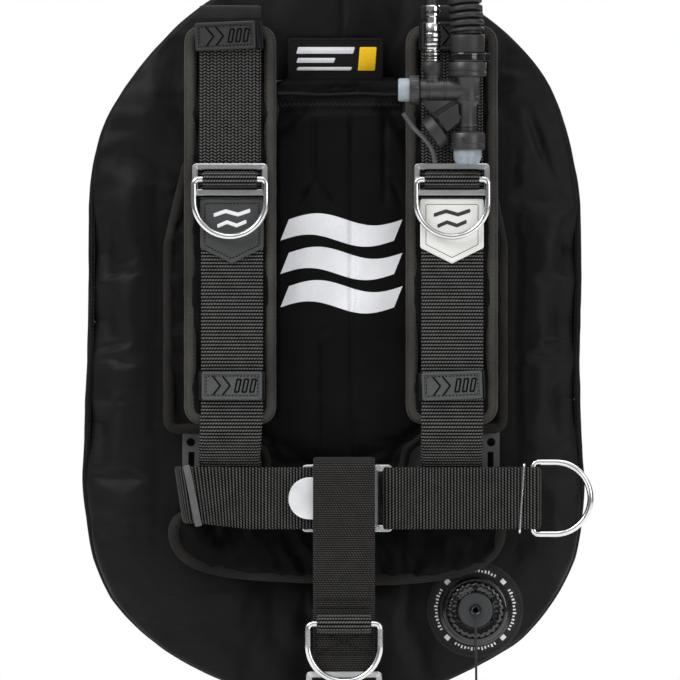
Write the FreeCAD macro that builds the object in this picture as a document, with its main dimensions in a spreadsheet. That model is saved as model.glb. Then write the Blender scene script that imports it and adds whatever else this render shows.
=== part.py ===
import FreeCAD, Part
import math
import os
import Sketcher

# Buoyancy compensator vest: a steel-style backplate with a single-piece webbing harness, padded
# shoulder straps and back pad, an oval single-cylinder wing behind it, a power inflator on the
# left shoulder and a pull dump low on the wing.
#
# Frame: millimetres, +Z up, the wearer's chest towards -Y, +X to the wearer's left.
# The origin is midway between the two tank bolt holes, on the plate's rear face.
#
# Every node is one document object; its driving sizes are cells of the Dimensions sheet.

V = FreeCAD.Vector
Z_AXIS = V(0, 0, 1)

DIMENSIONS = {
    "webbing_width": 50.8,
    "webbing_thickness": 2.5,
    "shoulder_centre": 91.0,
    "plate_thickness": 3.0,
    "plate_height": 380.0,
    "plate_half_width": 131.0,
    "channel_half_width": 36.0,
    "channel_depth": 18.0,
    "bolt_spacing": 279.4,
    "bolt_hole_radius": 4.5,
    "side_slot_width": 5.0,
    "strap_slot_height": 7.0,
    "strap_slot_length": 53.5,
    "back_pad_thickness": 12.5,
    "shoulder_pad_width": 75.5,
    "shoulder_pad_thickness": 9.0,
    "wing_thickness": 36.0,
    "wing_edge_radius": 17.5,
    "wing_fabric": 1.5,
    "wing_mid": 7.0,
    "wing_panel_thickness": 2.2,
    "binding_width": 8.0,
    "bladder_fabric": 0.4,
    "ring_wire": 5.0,
    "ring_half_width": 29.5,
    "ring_leg": 17.5,
    "slider_width": 62.0,
    "slider_height": 26.0,
    "slider_thickness": 2.5,
    "keeper_height": 23.0,
    "keeper_wall": 1.2,
    "keeper_gap": 0.3,
    "badge_thickness": 3.0,
    "patch_thickness": 2.5,
    "buckle_length": 74.0,
    "buckle_height": 55.0,
    "buckle_pin_radius": 2.0,
    "running_clearance": 0.05,
    "corrugated_diameter": 27.0,
    "feed_hose_diameter": 9.5,
    "pull_cord_diameter": 2.0,
    "bungee_diameter": 3.7,
    "inflate_button_radius": 9.5,
    "deflate_button_radius": 11.5,
    "button_clearance": 0.5,
    "coupler_radius": 5.0,
    "coupler_sleeve_radius": 6.2,
    "valve_patch_radius": 30.0,
    "valve_body_radius": 27.0,
    "valve_cap_radius": 24.0,
    "valve_disc_radius": 14.6,
    "thread_radius": 4.76,
    "elbow_radius": 13.0,
}

# Depths of the layers, from the plate forwards.
PAD_REAR = -22.5
STRAP_Y = -76.0
STRAP_TOP_Y = -66.0
BELT_Y = -66.0
BELT_Z = -154.5
CROTCH_X = 2.5
CROTCH_Y = -86.0
INFLATOR = V(103.5, -96.0, 0)
COUPLER_X = 75.0
BARREL_Z = 180.0
VALVE = V(111.0, 0, -247.5)

# A ring's webbing loop: its width, and the radius of its line round the ring's bar.
LOOP_WIDTH = "$webbing_width - 6"
LOOP_RADIUS = 5.2

doc = FreeCAD.newDocument("BuoyancyVest")
sheet = doc.addObject("Spreadsheet::Sheet", "Dimensions")
for row, (alias, number) in enumerate(DIMENSIONS.items(), start=1):
    sheet.set(f"A{row}", alias)
    sheet.set(f"B{row}", str(number))
    sheet.setAlias(f"B{row}", alias)
doc.recompute()

nodes = []


def dim(alias):
    """A driving dimension, read from the sheet."""
    return float(sheet.get(alias))


def bind(obj, size, formula):
    """Bind one size of an object to the sheet; $name in the formula is a cell's alias."""
    obj.setExpression(size, formula.replace("$", "Dimensions."))


def keep(obj, node):
    """Register an object as a node of the model."""
    obj.Label = node
    nodes.append(obj)
    return obj


# ---------------------------------------------------------------- geometry


def rounded_path(points, radii, closed=False):
    """Straight runs through the points, joined by tangent arcs of the given radii."""
    count = len(points)
    enter, leave, arcs = list(points), list(points), [None] * count
    for i in range(count) if closed else range(1, count - 1):
        radius = radii[i] if isinstance(radii, list) else radii
        if radius <= 0:
            continue
        back = (points[i - 1] - points[i]).normalize()
        ahead = (points[(i + 1) % count] - points[i]).normalize()
        half = back.getAngle(ahead) / 2
        reach = radius / math.tan(half)
        towards = (back + ahead).normalize()
        enter[i] = points[i] + back * reach
        leave[i] = points[i] + ahead * reach
        middle = points[i] + towards * (radius / math.sin(half) - radius)
        arcs[i] = Part.Arc(enter[i], middle, leave[i])
    path = []
    for i in range(count):
        if arcs[i] is not None:
            path.append(arcs[i])
        following = (i + 1) % count
        if closed or following:
            path.append(Part.LineSegment(leave[i], enter[following]))
    return path


def strip_outline(centre, thickness):
    """The closed outline of a strip of even thickness along a centre line, with mitred bends."""
    sides = ([], [])
    for i, point in enumerate(centre):
        before = (point - centre[i - 1]).normalize() if i else None
        after = (centre[i + 1] - point).normalize() if i + 1 < len(centre) else None
        first, second = before or after, after or before
        middle = (first + second).normalize()
        offset = V(-middle.y, middle.x, 0) * (thickness / 2 / middle.dot(first))
        sides[0].append(point + offset)
        sides[1].append(point - offset)
    return sides[0] + sides[1][::-1]


def arc_points(centre, radius, start, end, steps):
    """Evenly spaced points on an arc, angles in degrees."""
    angles = [math.radians(start + (end - start) * i / steps) for i in range(steps + 1)]
    return [centre + V(math.cos(a), math.sin(a), 0) * radius for a in angles]


# ---------------------------------------------------------------- document objects


def new_body(name):
    return doc.addObject("PartDesign::Body", name)


def new_sketch(body, name, role, geometry):
    """A sketch on one of the body's own origin planes, its curves joined end to end."""
    sketch = body.newObject("Sketcher::SketchObject", name)
    plane = next(p for p in body.Origin.OriginFeatures if p.Role == role)
    sketch.AttachmentSupport = (plane, [""])
    sketch.MapMode = "FlatFace"
    for curve in geometry:
        sketch.addGeometry(curve, False)
    count = len(geometry)
    for i in range(count):
        j = (i + 1) % count
        for end, start in ((2, 1), (2, 2), (1, 1), (1, 2)):
            gap = sketch.getPoint(i, end) - sketch.getPoint(j, start)
            if gap.Length < 1e-6:
                sketch.addConstraint(Sketcher.Constraint("Coincident", i, end, j, start))
                break
    return sketch


def outline_body(name, role, points, radii, length, midplane=False):
    """A body padded from a closed outline whose corners are rounded."""
    body = new_body(name)
    sketch = new_sketch(body, name + "_outline", role, rounded_path(points, radii, closed=True))
    pad = body.newObject("PartDesign::Pad", name + "_pad")
    pad.Profile = sketch
    bind(pad, "Length", length)
    pad.Midplane = midplane
    return body


def strip_body(name, role, centre, thickness, width):
    """A strip of webbing or padding: its edge-on outline, padded to both sides."""
    outline = strip_outline(centre, dim(thickness))
    return outline_body(name, role, outline, 0, width, midplane=True)


def box(name, size, corner):
    """A box, each size a number or a formula, with its low corner at the given place."""
    block = doc.addObject("Part::Box", name)
    for side, formula in zip(("Length", "Width", "Height"), size):
        bind(block, side, str(formula))
    block.Placement.Base = corner
    return block


def cylinder(name, radius, height, base, direction=Z_AXIS):
    """A cylinder from its base point along a direction; sizes are numbers or formulas."""
    rod = doc.addObject("Part::Cylinder", name)
    bind(rod, "Radius", str(radius))
    bind(rod, "Height", str(height))
    rod.Placement = FreeCAD.Placement(base, FreeCAD.Rotation(Z_AXIS, direction))
    return rod


def fuse(name, shapes):
    joined = doc.addObject("Part::MultiFuse", name)
    joined.Shapes = shapes
    joined.Refine = True
    return joined


def cut(name, base, tools):
    result = doc.addObject("Part::Cut", name)
    result.Base = base
    result.Tool = tools[0] if len(tools) == 1 else fuse(name + "_tools", tools)
    return result


def common(name, first, second):
    result = doc.addObject("Part::MultiCommon", name)
    result.Shapes = [first, second]
    return result


def compound(name, members):
    """Several separate solids that make one node."""
    group = doc.addObject("Part::Compound", name)
    group.Links = members
    return group


def move(obj, base, rotation=None):
    obj.Placement = FreeCAD.Placement(base, rotation or FreeCAD.Rotation())
    return obj


def window_block(name, outer, inner, centre):
    """A rectangular band: a box around the centre with a window cut through it along X or Z."""
    half = V(*[s / 2 for s in outer])
    hole = V(*[s / 2 for s in inner])
    frame = box(name + "_outer", outer, centre - half)
    window = box(name + "_window", inner, centre - hole)
    return cut(name, frame, [window])


def d_ring(name, bar_centre, bar_axis, drop_axis, half_width="$ring_half_width"):
    """A welded D-ring: a straight bar, two legs and a half ring of round wire."""
    wire = "$ring_wire / 2"
    half, leg = dim(half_width[1:]), dim("ring_leg")
    bar = cylinder(name + "_bar", wire, f"2 * {half_width}", V(-half, 0, 0), V(1, 0, 0))
    pieces = [bar]
    for side, sign in (("a", -1), ("b", 1)):
        at = V(sign * half, 0, 0)
        pieces.append(cylinder(name + "_leg_" + side, wire, "$ring_leg", at, V(0, 1, 0)))
        corner = doc.addObject("Part::Sphere", name + "_corner_" + side)
        bind(corner, "Radius", wire)
        corner.Placement.Base = at
        pieces.append(corner)
    bow = doc.addObject("Part::Torus", name + "_bow")
    bind(bow, "Radius1", half_width)
    bind(bow, "Radius2", wire)
    bow.Angle3 = 180
    bow.Placement.Base = V(0, leg, 0)
    pieces.append(bow)
    ring = fuse(name, pieces)
    normal = bar_axis.cross(drop_axis)
    rotation = FreeCAD.Rotation(bar_axis, drop_axis, normal, "XYZ")
    return move(ring, bar_centre, rotation)


def slider(name, centre, turned=False):
    """A flat steel slide with rounded corners and one window for the webbing."""
    wide, tall = dim("slider_width") / 2, dim("slider_height") / 2
    rail, stile = 5.5, 5.0
    corners = [V(-wide, -tall, 0), V(wide, -tall, 0), V(wide, tall, 0), V(-wide, tall, 0)]
    body = outline_body(name, "XZ_Plane", corners, 4.0, "$slider_thickness")
    window = [V(p.x - math.copysign(stile, p.x), p.y - math.copysign(rail, p.y), 0) for p in corners]
    sketch = new_sketch(body, name + "_window", "XZ_Plane", rounded_path(window, 2.0, closed=True))
    doc.recompute()
    opening = body.newObject("PartDesign::Pocket", name + "_opening")
    opening.Profile = sketch
    opening.Type = "ThroughAll"
    opening.Midplane = True
    turn = FreeCAD.Rotation(V(0, 1, 0), 90 if turned else 0)
    return move(body, centre, turn)


def cord_tube(name, points, diameter, smallest):
    """A cord's round tube: straight runs joined by arcs as large as the runs allow."""
    radii = [0.0] * len(points)
    for i in range(1, len(points) - 1):
        back, ahead = points[i - 1] - points[i], points[i + 1] - points[i]
        turn = math.pi - back.getAngle(ahead)
        radii[i] = 0.45 * min(back.Length, ahead.Length) / math.tan(turn / 2)
    tightest = min(radii[1:-1], default=0.0)
    path = Part.Wire([curve.toShape() for curve in rounded_path(points, radii)])
    start = (points[1] - points[0]).normalize()
    section = Part.Wire([Part.Circle(points[0], start, dim(diameter) / 2).toShape()])
    tube = doc.addObject("Part::Feature", name)
    tube.Shape = path.makePipeShell([section], True, False, 0)
    expected = math.pi * (dim(diameter) / 2) ** 2 * path.Length
    print(f"{name}: length {path.Length:.0f} tightest {tightest:.0f} of {smallest:.0f} "
          f"volume/expected {tube.Shape.Volume / expected:.4f}")
    return tube


# ---------------------------------------------------------------- backplate and pads


def make_backplate():
    """Bent plate: two flanges in front of a flat central web that carries the tank bolts."""
    half, web = dim("plate_half_width"), dim("channel_half_width")
    thick, deep = dim("plate_thickness"), dim("channel_depth")
    slope = web + deep
    centre = [V(-half, -deep - thick / 2, 0), V(-slope, -deep - thick / 2, 0)]
    centre += [V(-web, -thick / 2, 0), V(web, -thick / 2, 0)]
    centre += [V(slope, -deep - thick / 2, 0), V(half, -deep - thick / 2, 0)]
    section = strip_body("plate_section", "XY_Plane", centre, "plate_thickness", "$plate_height")
    top = dim("plate_height") / 2
    right = [V(118, top, 0), V(half, 60, 0), V(half, -162, 0), V(104, -top, 0)]
    left = [V(-p.x, p.y, 0) for p in reversed(right)]
    outline = outline_body("plate_outline", "XZ_Plane", right + left, 14.0, "$plate_height", True)
    holes = []
    for sign in (-1, 1):
        at = V(0, 5, sign * dim("bolt_spacing") / 2)
        holes.append(cylinder(f"bolt_hole_{sign + 1}", "$bolt_hole_radius", 10, at, V(0, -1, 0)))
        length = dim("strap_slot_length")
        for level, z in (("upper", 160.0), ("lower", -150.0)):
            low = V(sign * dim("shoulder_centre") - length / 2, -30, z - dim("strap_slot_height") / 2)
            size = ("$strap_slot_length", 20, "$strap_slot_height")
            holes.append(box(f"strap_slot_{level}_{sign + 1}", size, low))
        side = V(sign * 123.5 - dim("side_slot_width") / 2, -30, BELT_Z - 30.5)
        holes.append(box(f"side_slot_{sign + 1}", ("$side_slot_width", 20, 68), side))
        holes.append(cylinder(f"lash_hole_{sign + 1}", 3.5, 20, V(sign * 124, -10, -109), V(0, -1, 0)))
    crotch = V(CROTCH_X - 27.5, -10, -180)
    holes.append(box("crotch_slot", (55, 20, "$strap_slot_height"), crotch))
    plate = common("plate_blank", section, outline)
    keep(cut("backplate", plate, holes), "backplate")


def make_pads():
    """The back pad on the plate's flanges and the narrow lumbar pad below it."""
    right = [V(57, 178, 0), V(61, 150, 0), V(114, 148, 0), V(124, 118, 0)]
    right += [V(137, 55, 0), V(137, -101, 0)]
    left = [V(-146, -101, 0), V(-146, 55, 0), V(-131, 118, 0), V(-118, 148, 0)]
    left += [V(-61, 150, 0), V(-57, 178, 0)]
    radii = [8.0, 4.0, 14.0, 40.0, 40.0, 28.0]
    radii += radii[::-1]
    pad = outline_body("back_pad", "XZ_Plane", right + left, radii, "$back_pad_thickness")
    keep(move(pad, V(0, PAD_REAR, 0)), "back_pad")
    lumbar = [V(-143, -184, 0), V(135, -184, 0), V(133, -204, 0), V(62, -221, 0)]
    lumbar += [V(-62, -224, 0), V(-136, -216, 0)]
    pad = outline_body("lumbar_pad", "XZ_Plane", lumbar, [8.0, 8.0, 10.0, 60.0, 60.0, 12.0],
                       "$back_pad_thickness")
    keep(move(pad, V(0, PAD_REAR, 0)), "lumbar_pad")


# ---------------------------------------------------------------- wing


def wing_outlines(inset):
    """The wing's outer outline and its central opening, both pulled into the fabric by inset."""
    low, high = V(-211 + inset, -320 + inset, 0), V(200 - inset, 281 - inset, 0)
    outer = [V(low.x, high.y, 0), V(high.x, high.y, 0), V(high.x, low.y, 0), V(low.x, low.y, 0)]
    radii = [200 - inset, 200 - inset, 186 - inset, 186 - inset]
    side, bottom, top = 52 + inset, -205 - inset, 194 + inset
    inner = [V(-side, top, 0), V(side, top, 0), V(side, bottom, 0), V(-side, bottom, 0)]
    return rounded_path(outer, radii, closed=True), rounded_path(inner, 30 + inset, closed=True)


def wing_form(name, inset):
    """A solid oval ring with fully rounded edges, inset from the wing's outside."""
    outer, inner = wing_outlines(inset)
    body = new_body(name)
    pad = body.newObject("PartDesign::Pad", name + "_pad")
    pad.Profile = new_sketch(body, name + "_outer", "XZ_Plane", outer)
    bind(pad, "Length", f"$wing_thickness - {2 * inset}")
    pad.Midplane = True
    doc.recompute()
    opening = body.newObject("PartDesign::Pocket", name + "_opening")
    opening.Profile = new_sketch(body, name + "_inner", "XZ_Plane", inner)
    opening.Type = "ThroughAll"
    opening.Midplane = True
    doc.recompute()
    half = dim("wing_thickness") / 2 - inset
    edges = []
    for i, edge in enumerate(opening.Shape.Edges, start=1):
        if all(abs(abs(v.Y) - half) < 1e-6 for v in edge.Vertexes):
            edges.append(f"Edge{i}")
    rounding = body.newObject("PartDesign::Fillet", name + "_rounding")
    rounding.Base = (opening, edges)
    bind(rounding, "Radius", f"$wing_edge_radius - {inset}")
    body.Tip = rounding
    return move(body, V(0, dim("wing_mid"), 0))


def make_wing():
    """Fabric shell in two panels, the bladder inside it, the edge binding and the centre panel."""
    fabric, bladder = dim("wing_fabric"), dim("bladder_fabric")
    shell = cut("wing_shell", wing_form("wing_outside", 0), [wing_form("wing_inside", fabric)])
    mid = dim("wing_mid")
    for name, low in (("wing_front_panel", mid - 40), ("wing_rear_panel", mid)):
        region = box(name + "_region", (480, 40, 640), V(-240, low, -340))
        keep(common(name, shell, region), name)
    outside = wing_form("bladder_outside", fabric + bladder)
    inside = wing_form("bladder_inside", fabric + 2 * bladder)
    keep(cut("wing_bladder", outside, [inside]), "wing_bladder")
    binding = new_body("wing_binding")
    pad = binding.newObject("PartDesign::Pad", "binding_pad")
    pad.Profile = new_sketch(binding, "binding_outer", "XZ_Plane", wing_outlines(-2.5)[0])
    bind(pad, "Length", "$binding_width")
    pad.Midplane = True
    doc.recompute()
    opening = binding.newObject("PartDesign::Pocket", "binding_opening")
    opening.Profile = new_sketch(binding, "binding_inner", "XZ_Plane", wing_outlines(-0.3)[0])
    opening.Type = "ThroughAll"
    opening.Midplane = True
    keep(move(binding, V(0, mid, 0)), "wing_binding")
    panel = box("panel_sheet", (100.6, "$wing_panel_thickness", 323), V(-50.3, 0.3, -165.5))
    grommets = []
    for sign in (-1, 1):
        at = V(0, -5, sign * dim("bolt_spacing") / 2)
        hole = cylinder(f"grommet_hole_{sign + 1}", "$bolt_hole_radius + 1", 12, at, V(0, 1, 0))
        grommets.append(hole)
    keep(cut("wing_center_panel", panel, grommets), "wing_center_panel")
    patch = [V(-44, 191, 0), V(35, 191, 0), V(35, 225, 0), V(-44, 225, 0)]
    body = outline_body("name_patch", "XZ_Plane", patch, 3.0, "$wing_fabric")
    keep(move(body, V(0, mid - dim("wing_thickness") / 2 - 0.3, 0)), "name_patch")


# ---------------------------------------------------------------- shoulder straps


def shoulder_line():
    """The strap's line in the YZ plane from the upper slot over the fold to the lower slot."""
    top, front = STRAP_TOP_Y, STRAP_Y
    fold = [V(-14.6, 142, 0), V(-14.6, 156.5, 0), V(-17, 159.8, 0), V(-24, 160.4, 0), V(-33, 166, 0)]
    fold += [V(-38, 182, 0), V(-40, 228, 0)]
    fold += [V(-42, 243, 0), V(-49, 250, 0), V(-58, 249, 0), V(top, 240, 0), V(top, 186, 0)]
    fold += [V(front, 126, 0), V(front, -97, 0), V(-71, -110, 0), V(-57, -128.5, 0)]
    fold += [V(-34, -147, 0), V(-24, -149.8, 0), V(-17, -150.2, 0)]
    return fold + [V(-14.6, -153.5, 0), V(-14.6, -168, 0)]


def make_shoulder(side, sign):
    """One shoulder strap: webbing, pad, slide and D-ring, chest patch, keepers and their badges."""
    x = sign * dim("shoulder_centre")
    thick = dim("webbing_thickness")
    name = "shoulder_webbing_" + side
    line = shoulder_line()
    strap = strip_body(name + "_strap", "YZ_Plane", line, "webbing_thickness", "$webbing_width")
    strap.Placement.Base = V(x, 0, 0)
    bar_y, bar_z = STRAP_Y - 10.0, 107.0
    around = arc_points(V(bar_y, bar_z, 0), LOOP_RADIUS, 60, 300, 6)
    loop_line = [V(STRAP_Y - 1.7, 112.5, 0)] + around + [V(STRAP_Y - 1.7, 101.5, 0)]
    loop = strip_body(name + "_loop", "YZ_Plane", loop_line, "webbing_thickness", LOOP_WIDTH)
    loop.Placement.Base = V(x, 0, 0)
    keep(compound(name, [strap, loop]), name)

    pad_shift = (thick + dim("shoulder_pad_thickness")) / 2 + 1.85
    top, front = STRAP_TOP_Y + pad_shift, STRAP_Y + pad_shift
    line = [V(top, 234, 0), V(top, 186, 0), V(front, 126, 0), V(front, -95, 0)]
    name = "shoulder_pad_" + side
    pad = strip_body(name, "YZ_Plane", line, "shoulder_pad_thickness", "$shoulder_pad_width")
    keep(move(pad, V(x, 0, 0)), name)

    name = "shoulder_slider_" + side
    keep(slider(name, V(x, STRAP_Y - thick / 2 - 1.2, bar_z)), name)
    name = "shoulder_dring_" + side
    keep(d_ring(name, V(x, bar_y, bar_z), V(1, 0, 0), V(0, 0, -1)), name)

    name = "chest_patch_" + side
    patch = [V(-26, 89, 0), V(26, 89, 0), V(26, 51, 0), V(0, 38, 0), V(-26, 51, 0)]
    body = outline_body(name, "XZ_Plane", patch, 2.0, "$patch_thickness")
    keep(move(body, V(x, STRAP_Y - thick / 2 - 0.3, 0)), name)

    wall, gap = dim("keeper_wall"), dim("keeper_gap")
    inner = (dim("webbing_width") + 2 * gap, thick + 2 * gap, dim("keeper_height") + 2)
    outer = (inner[0] + 2 * wall, inner[1] + 2 * wall, dim("keeper_height"))
    for level, y, z in (("upper", STRAP_TOP_Y, 225.0), ("lower", STRAP_Y, -62.0)):
        name = f"{level}_keeper_{side}"
        band = window_block(name, outer, inner, V(x, y, z))
        keep(band, name)
        name = f"{level}_badge_{side}"
        wide, tall = 24.8, dim("keeper_height") / 2
        plate = [V(-wide, -tall, 0), V(wide, -tall, 0), V(wide, tall, 0), V(-wide, tall, 0)]
        body = outline_body(name, "XZ_Plane", plate, 4.0, "$badge_thickness")
        keep(move(body, V(x, y - outer[1] / 2, z)), name)


# ---------------------------------------------------------------- waist belt and buckle


def make_belt():
    """Both halves of the waist belt, their slides and the hip D-ring on the wearer's left."""
    left = [V(-117.6, -14.6, 0), V(-121.2, -14.6, 0), V(-123.4, -17, 0), V(-123.6, -24, 0)]
    left += [V(-127, -34, 0), V(-133, -46, 0), V(-131, -59, 0), V(-121, BELT_Y, 0), V(8, BELT_Y, 0)]
    belt = strip_body("waist_belt_right", "XY_Plane", left, "webbing_thickness", "$webbing_width")
    keep(move(belt, V(0, 0, BELT_Z)), "waist_belt_right")

    bar = V(158, BELT_Y + LOOP_RADIUS, 0)
    right = [V(36, BELT_Y, 0), V(152, BELT_Y, 0)] + arc_points(bar, LOOP_RADIUS, -90, 90, 6)
    right += [V(148, -54, 0), V(134, -44, 0), V(125, -32, 0), V(123.6, -24, 0)]
    right += [V(123.4, -17, 0), V(121.2, -14.6, 0), V(117.6, -14.6, 0)]
    belt = strip_body("waist_belt_left", "XY_Plane", right, "webbing_thickness", "$webbing_width")
    keep(move(belt, V(0, 0, BELT_Z)), "waist_belt_left")

    inner = (8, 3.3, dim("webbing_width") + 1)
    outer = (6, 6.5, dim("webbing_width") + 6)
    for name, x in (("belt_slide_right", -113.0), ("belt_slide_left", 146.0)):
        keep(window_block(name, outer, inner, V(x, BELT_Y, BELT_Z)), name)
    ring = d_ring("hip_dring", V(bar.x, bar.y, BELT_Z), Z_AXIS, V(1, 0, 0))
    keep(ring, "hip_dring")


def make_buckle():
    """Cam buckle: a frame with two ears, a pin between them and a lever that turns on the pin."""
    thick, wide, tall = 3.4, dim("buckle_length"), dim("buckle_height")
    rear = BELT_Y - dim("webbing_thickness") / 2 - 0.35
    left = 5.0 - wide / 2
    pin = V(27, rear - 7.2, BELT_Z)
    plate = box("buckle_plate", ("$buckle_length", thick, "$buckle_height"),
                V(left, rear - thick, BELT_Z - tall / 2))
    window = box("buckle_window", (46, thick + 2, 44), V(left + 8, rear - thick - 1, BELT_Z - 22))
    strap_gap = box("buckle_strap_gap", (5, thick + 2, 44), V(31.5, rear - thick - 1, BELT_Z - 22))
    ears = []
    for sign in (-1, 1):
        ear_low = BELT_Z + (23.2 if sign > 0 else -tall / 2)
        ears.append(box(f"buckle_ear_{sign + 1}", (10, 6.5, tall / 2 - 23.2),
                        V(pin.x - 5, rear - thick - 6.4, ear_low)))
    solid = fuse("buckle_solid", [plate] + ears)
    pin_start = V(pin.x, pin.y, BELT_Z - tall / 2)
    bore = cylinder("buckle_bore", "$buckle_pin_radius", "$buckle_height + 2", pin_start - Z_AXIS)
    keep(cut("buckle_frame", solid, [window, strap_gap, bore]), "buckle_frame")
    pin_rod = cylinder("buckle_pin", "$buckle_pin_radius", "$buckle_height", pin_start)
    keep(pin_rod, "buckle_pin")

    front, depth = pin.y - 2.0, 3.0
    tongue = box("lever_tongue", (pin.x + 26, depth, 34.6), V(-26, front, BELT_Z - 17.3))
    thumb = cylinder("lever_thumb", 17.3, depth, V(-26, front, BELT_Z), V(0, 1, 0))
    boss = cylinder("lever_boss", 3.4, 45, V(pin.x, pin.y, BELT_Z - 22.5))
    solid = fuse("lever_solid", [tongue, thumb, boss])
    bore = cylinder("lever_bore", "$buckle_pin_radius + $running_clearance", 60,
                    V(pin.x, pin.y, BELT_Z - 30))
    keep(cut("buckle_lever", solid, [bore]), "buckle_lever")


# ---------------------------------------------------------------- crotch strap


def make_crotch():
    """The crotch strap from the plate's lower slot, up to the loop round the belt, and its ring."""
    y = CROTCH_Y
    line = [V(-7, -160, 0), V(-6.6, -172, 0), V(-3.8, -176.3, 0), V(1.6, -176.7, 0), V(4.4, -181, 0)]
    line += [V(3.6, -190, 0), V(-5, -199, 0), V(-14, -214, 0), V(-19, -243, 0), V(-38, -330, 0)]
    line += [V(-55, -388, 0), V(-64, -405, 0)]
    line += [V(-74, -409, 0), V(y + 3, -398, 0), V(y, -380, 0), V(y, -132, 0), V(y + 2, -125, 0)]
    line += [V(y + 8, -122, 0), V(-67, -122, 0), V(-61.5, -125, 0), V(-60, -132, 0), V(-60, -190, 0)]
    line += [V(-67, -222, 0), V(y + 6, -240, 0), V(y + 3.2, -250, 0)]
    strap = strip_body("crotch_strap_run", "YZ_Plane", line, "webbing_thickness", "$webbing_width")
    strap.Placement.Base = V(CROTCH_X, 0, 0)
    bar = V(y - 7.0, -257, 0)
    around = arc_points(bar, LOOP_RADIUS, 60, 300, 6)
    loop_line = [V(y - 2.8, -250, 0)] + around + [V(y - 2.8, -264, 0)]
    loop = strip_body("crotch_strap_loop", "YZ_Plane", loop_line, "webbing_thickness", LOOP_WIDTH)
    loop.Placement.Base = V(CROTCH_X, 0, 0)
    keep(compound("crotch_strap", [strap, loop]), "crotch_strap")
    ring = d_ring("crotch_dring", V(CROTCH_X, bar.x, bar.y), V(1, 0, 0), V(0, 0, -1))
    keep(ring, "crotch_dring")
    keep(slider("crotch_slider", V(CROTCH_X, y - 1.25 - 0.1, -309)), "crotch_slider")


# ---------------------------------------------------------------- power inflator


def make_inflator():
    """Inflator head: grip tube, side barrel with its feed coupler, both buttons and mouthpiece."""
    axis, barrel = INFLATOR, V(0, INFLATOR.y, BARREL_Z)
    along = V(1, 0, 0)
    solids = [
        cylinder("grip_flange", 15.6, 12, axis + Z_AXIS * 191),
        cylinder("grip_upper", 9.8, 22, axis + Z_AXIS * 170),
        cylinder("grip_lower", 7.4, 28, axis + Z_AXIS * 143.5),
        cylinder("grip_cup", "$deflate_button_radius + 3", 14, axis + Z_AXIS * 131),
        cylinder("side_barrel", 8.6, 40, barrel + along * 64.5, along),
        cylinder("coupler_socket", 7.0, 16, V(COUPLER_X, INFLATOR.y, BARREL_Z)),
    ]
    gusset = outline_body("inflator_gusset_web", "XZ_Plane",
                          [V(66, 172, 0), V(98, 172, 0), V(98, 144, 0), V(92, 144, 0)], 0,
                          "$plate_thickness", midplane=True)
    gusset.Placement.Base = V(0, INFLATOR.y, 0)
    towards = V(-0.8, 0, -0.6)
    root = V(94, INFLATOR.y, 156)
    branch = cylinder("mouthpiece_branch", 6.4, 15, root - towards * 10, towards)
    body = fuse("inflator_solid", solids + [gusset, branch])
    path = cylinder("mouthpiece_path", 6.0, 30, root + towards * 5, towards)
    cup_bore = cylinder("cup_bore", "$deflate_button_radius + $button_clearance", 13,
                        axis + Z_AXIS * 130)
    airway = cylinder("airway", 5.0, 54, axis + Z_AXIS * 150)
    keep(cut("inflator_body", body, [cup_bore, airway, path]), "inflator_body")

    collar = cylinder("collar_solid", "$inflate_button_radius + 2.5", 8.2, barrel + along * 56, along)
    bore = cylinder("collar_bore", "$inflate_button_radius + $button_clearance", 7.2,
                    barrel + along * 55, along)
    keep(cut("inflate_collar", collar, [bore]), "inflate_collar")
    button = cylinder("inflate_button", "$inflate_button_radius", 10.8, barrel + along * 46.7, along)
    keep(button, "inflate_button")
    button = cylinder("deflate_button", "$deflate_button_radius", 15, axis + Z_AXIS * 119)
    keep(button, "deflate_button")

    stem = cylinder("mouthpiece_stem", 5.6, 17, root + towards * 5.2, towards)
    rim = cylinder("mouthpiece_rim", 12.2, 10, root + towards * 17.5, towards)
    recess = cylinder("mouthpiece_recess", 9.0, 3.5, root + towards * 24.2, towards)
    keep(cut("mouthpiece", fuse("mouthpiece_solid", [stem, rim]), [recess]), "mouthpiece")

    cuff = cylinder("hose_cuff", 14.3, 15, axis + Z_AXIS * 210.2)
    keep(cuff, "hose_cuff")
    band = cylinder("clamp_band", 15.3, 6.8, axis + Z_AXIS * 203.2)
    tab = box("clamp_tab", (6, 5, 6.8), axis + V(13, -2.5, 203.2))
    keep(fuse("hose_clamp", [band, tab]), "hose_clamp")


def make_coupler():
    """Feed hose coupler: rubber boot, coupler body and the sleeve that is pulled back to let go."""
    at = V(COUPLER_X, INFLATOR.y, 0)
    boot = cylinder("boot_solid", 8.4, 11.5, at + Z_AXIS * 191.5)
    bore = cylinder("boot_bore", 7.2, 5, at + Z_AXIS * 191.4)
    keep(cut("coupler_boot", boot, [bore]), "coupler_boot")
    solids = [
        cylinder("coupler_core", "$coupler_radius", 46, at + Z_AXIS * 203.1),
        cylinder("coupler_foot", 6.1, 9.5, at + Z_AXIS * 203.1),
        cylinder("coupler_head", 6.1, 9.0, at + Z_AXIS * 240.1),
    ]
    keep(fuse("coupler_body", solids), "coupler_body")
    sleeve = cylinder("sleeve_solid", "$coupler_sleeve_radius", 21.5, at + Z_AXIS * 213.2)
    bore = cylinder("sleeve_bore", "$coupler_radius + $running_clearance", 24, at + Z_AXIS * 212)
    keep(cut("coupler_sleeve", sleeve, [bore]), "coupler_sleeve")


# ---------------------------------------------------------------- hoses and cords

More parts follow.
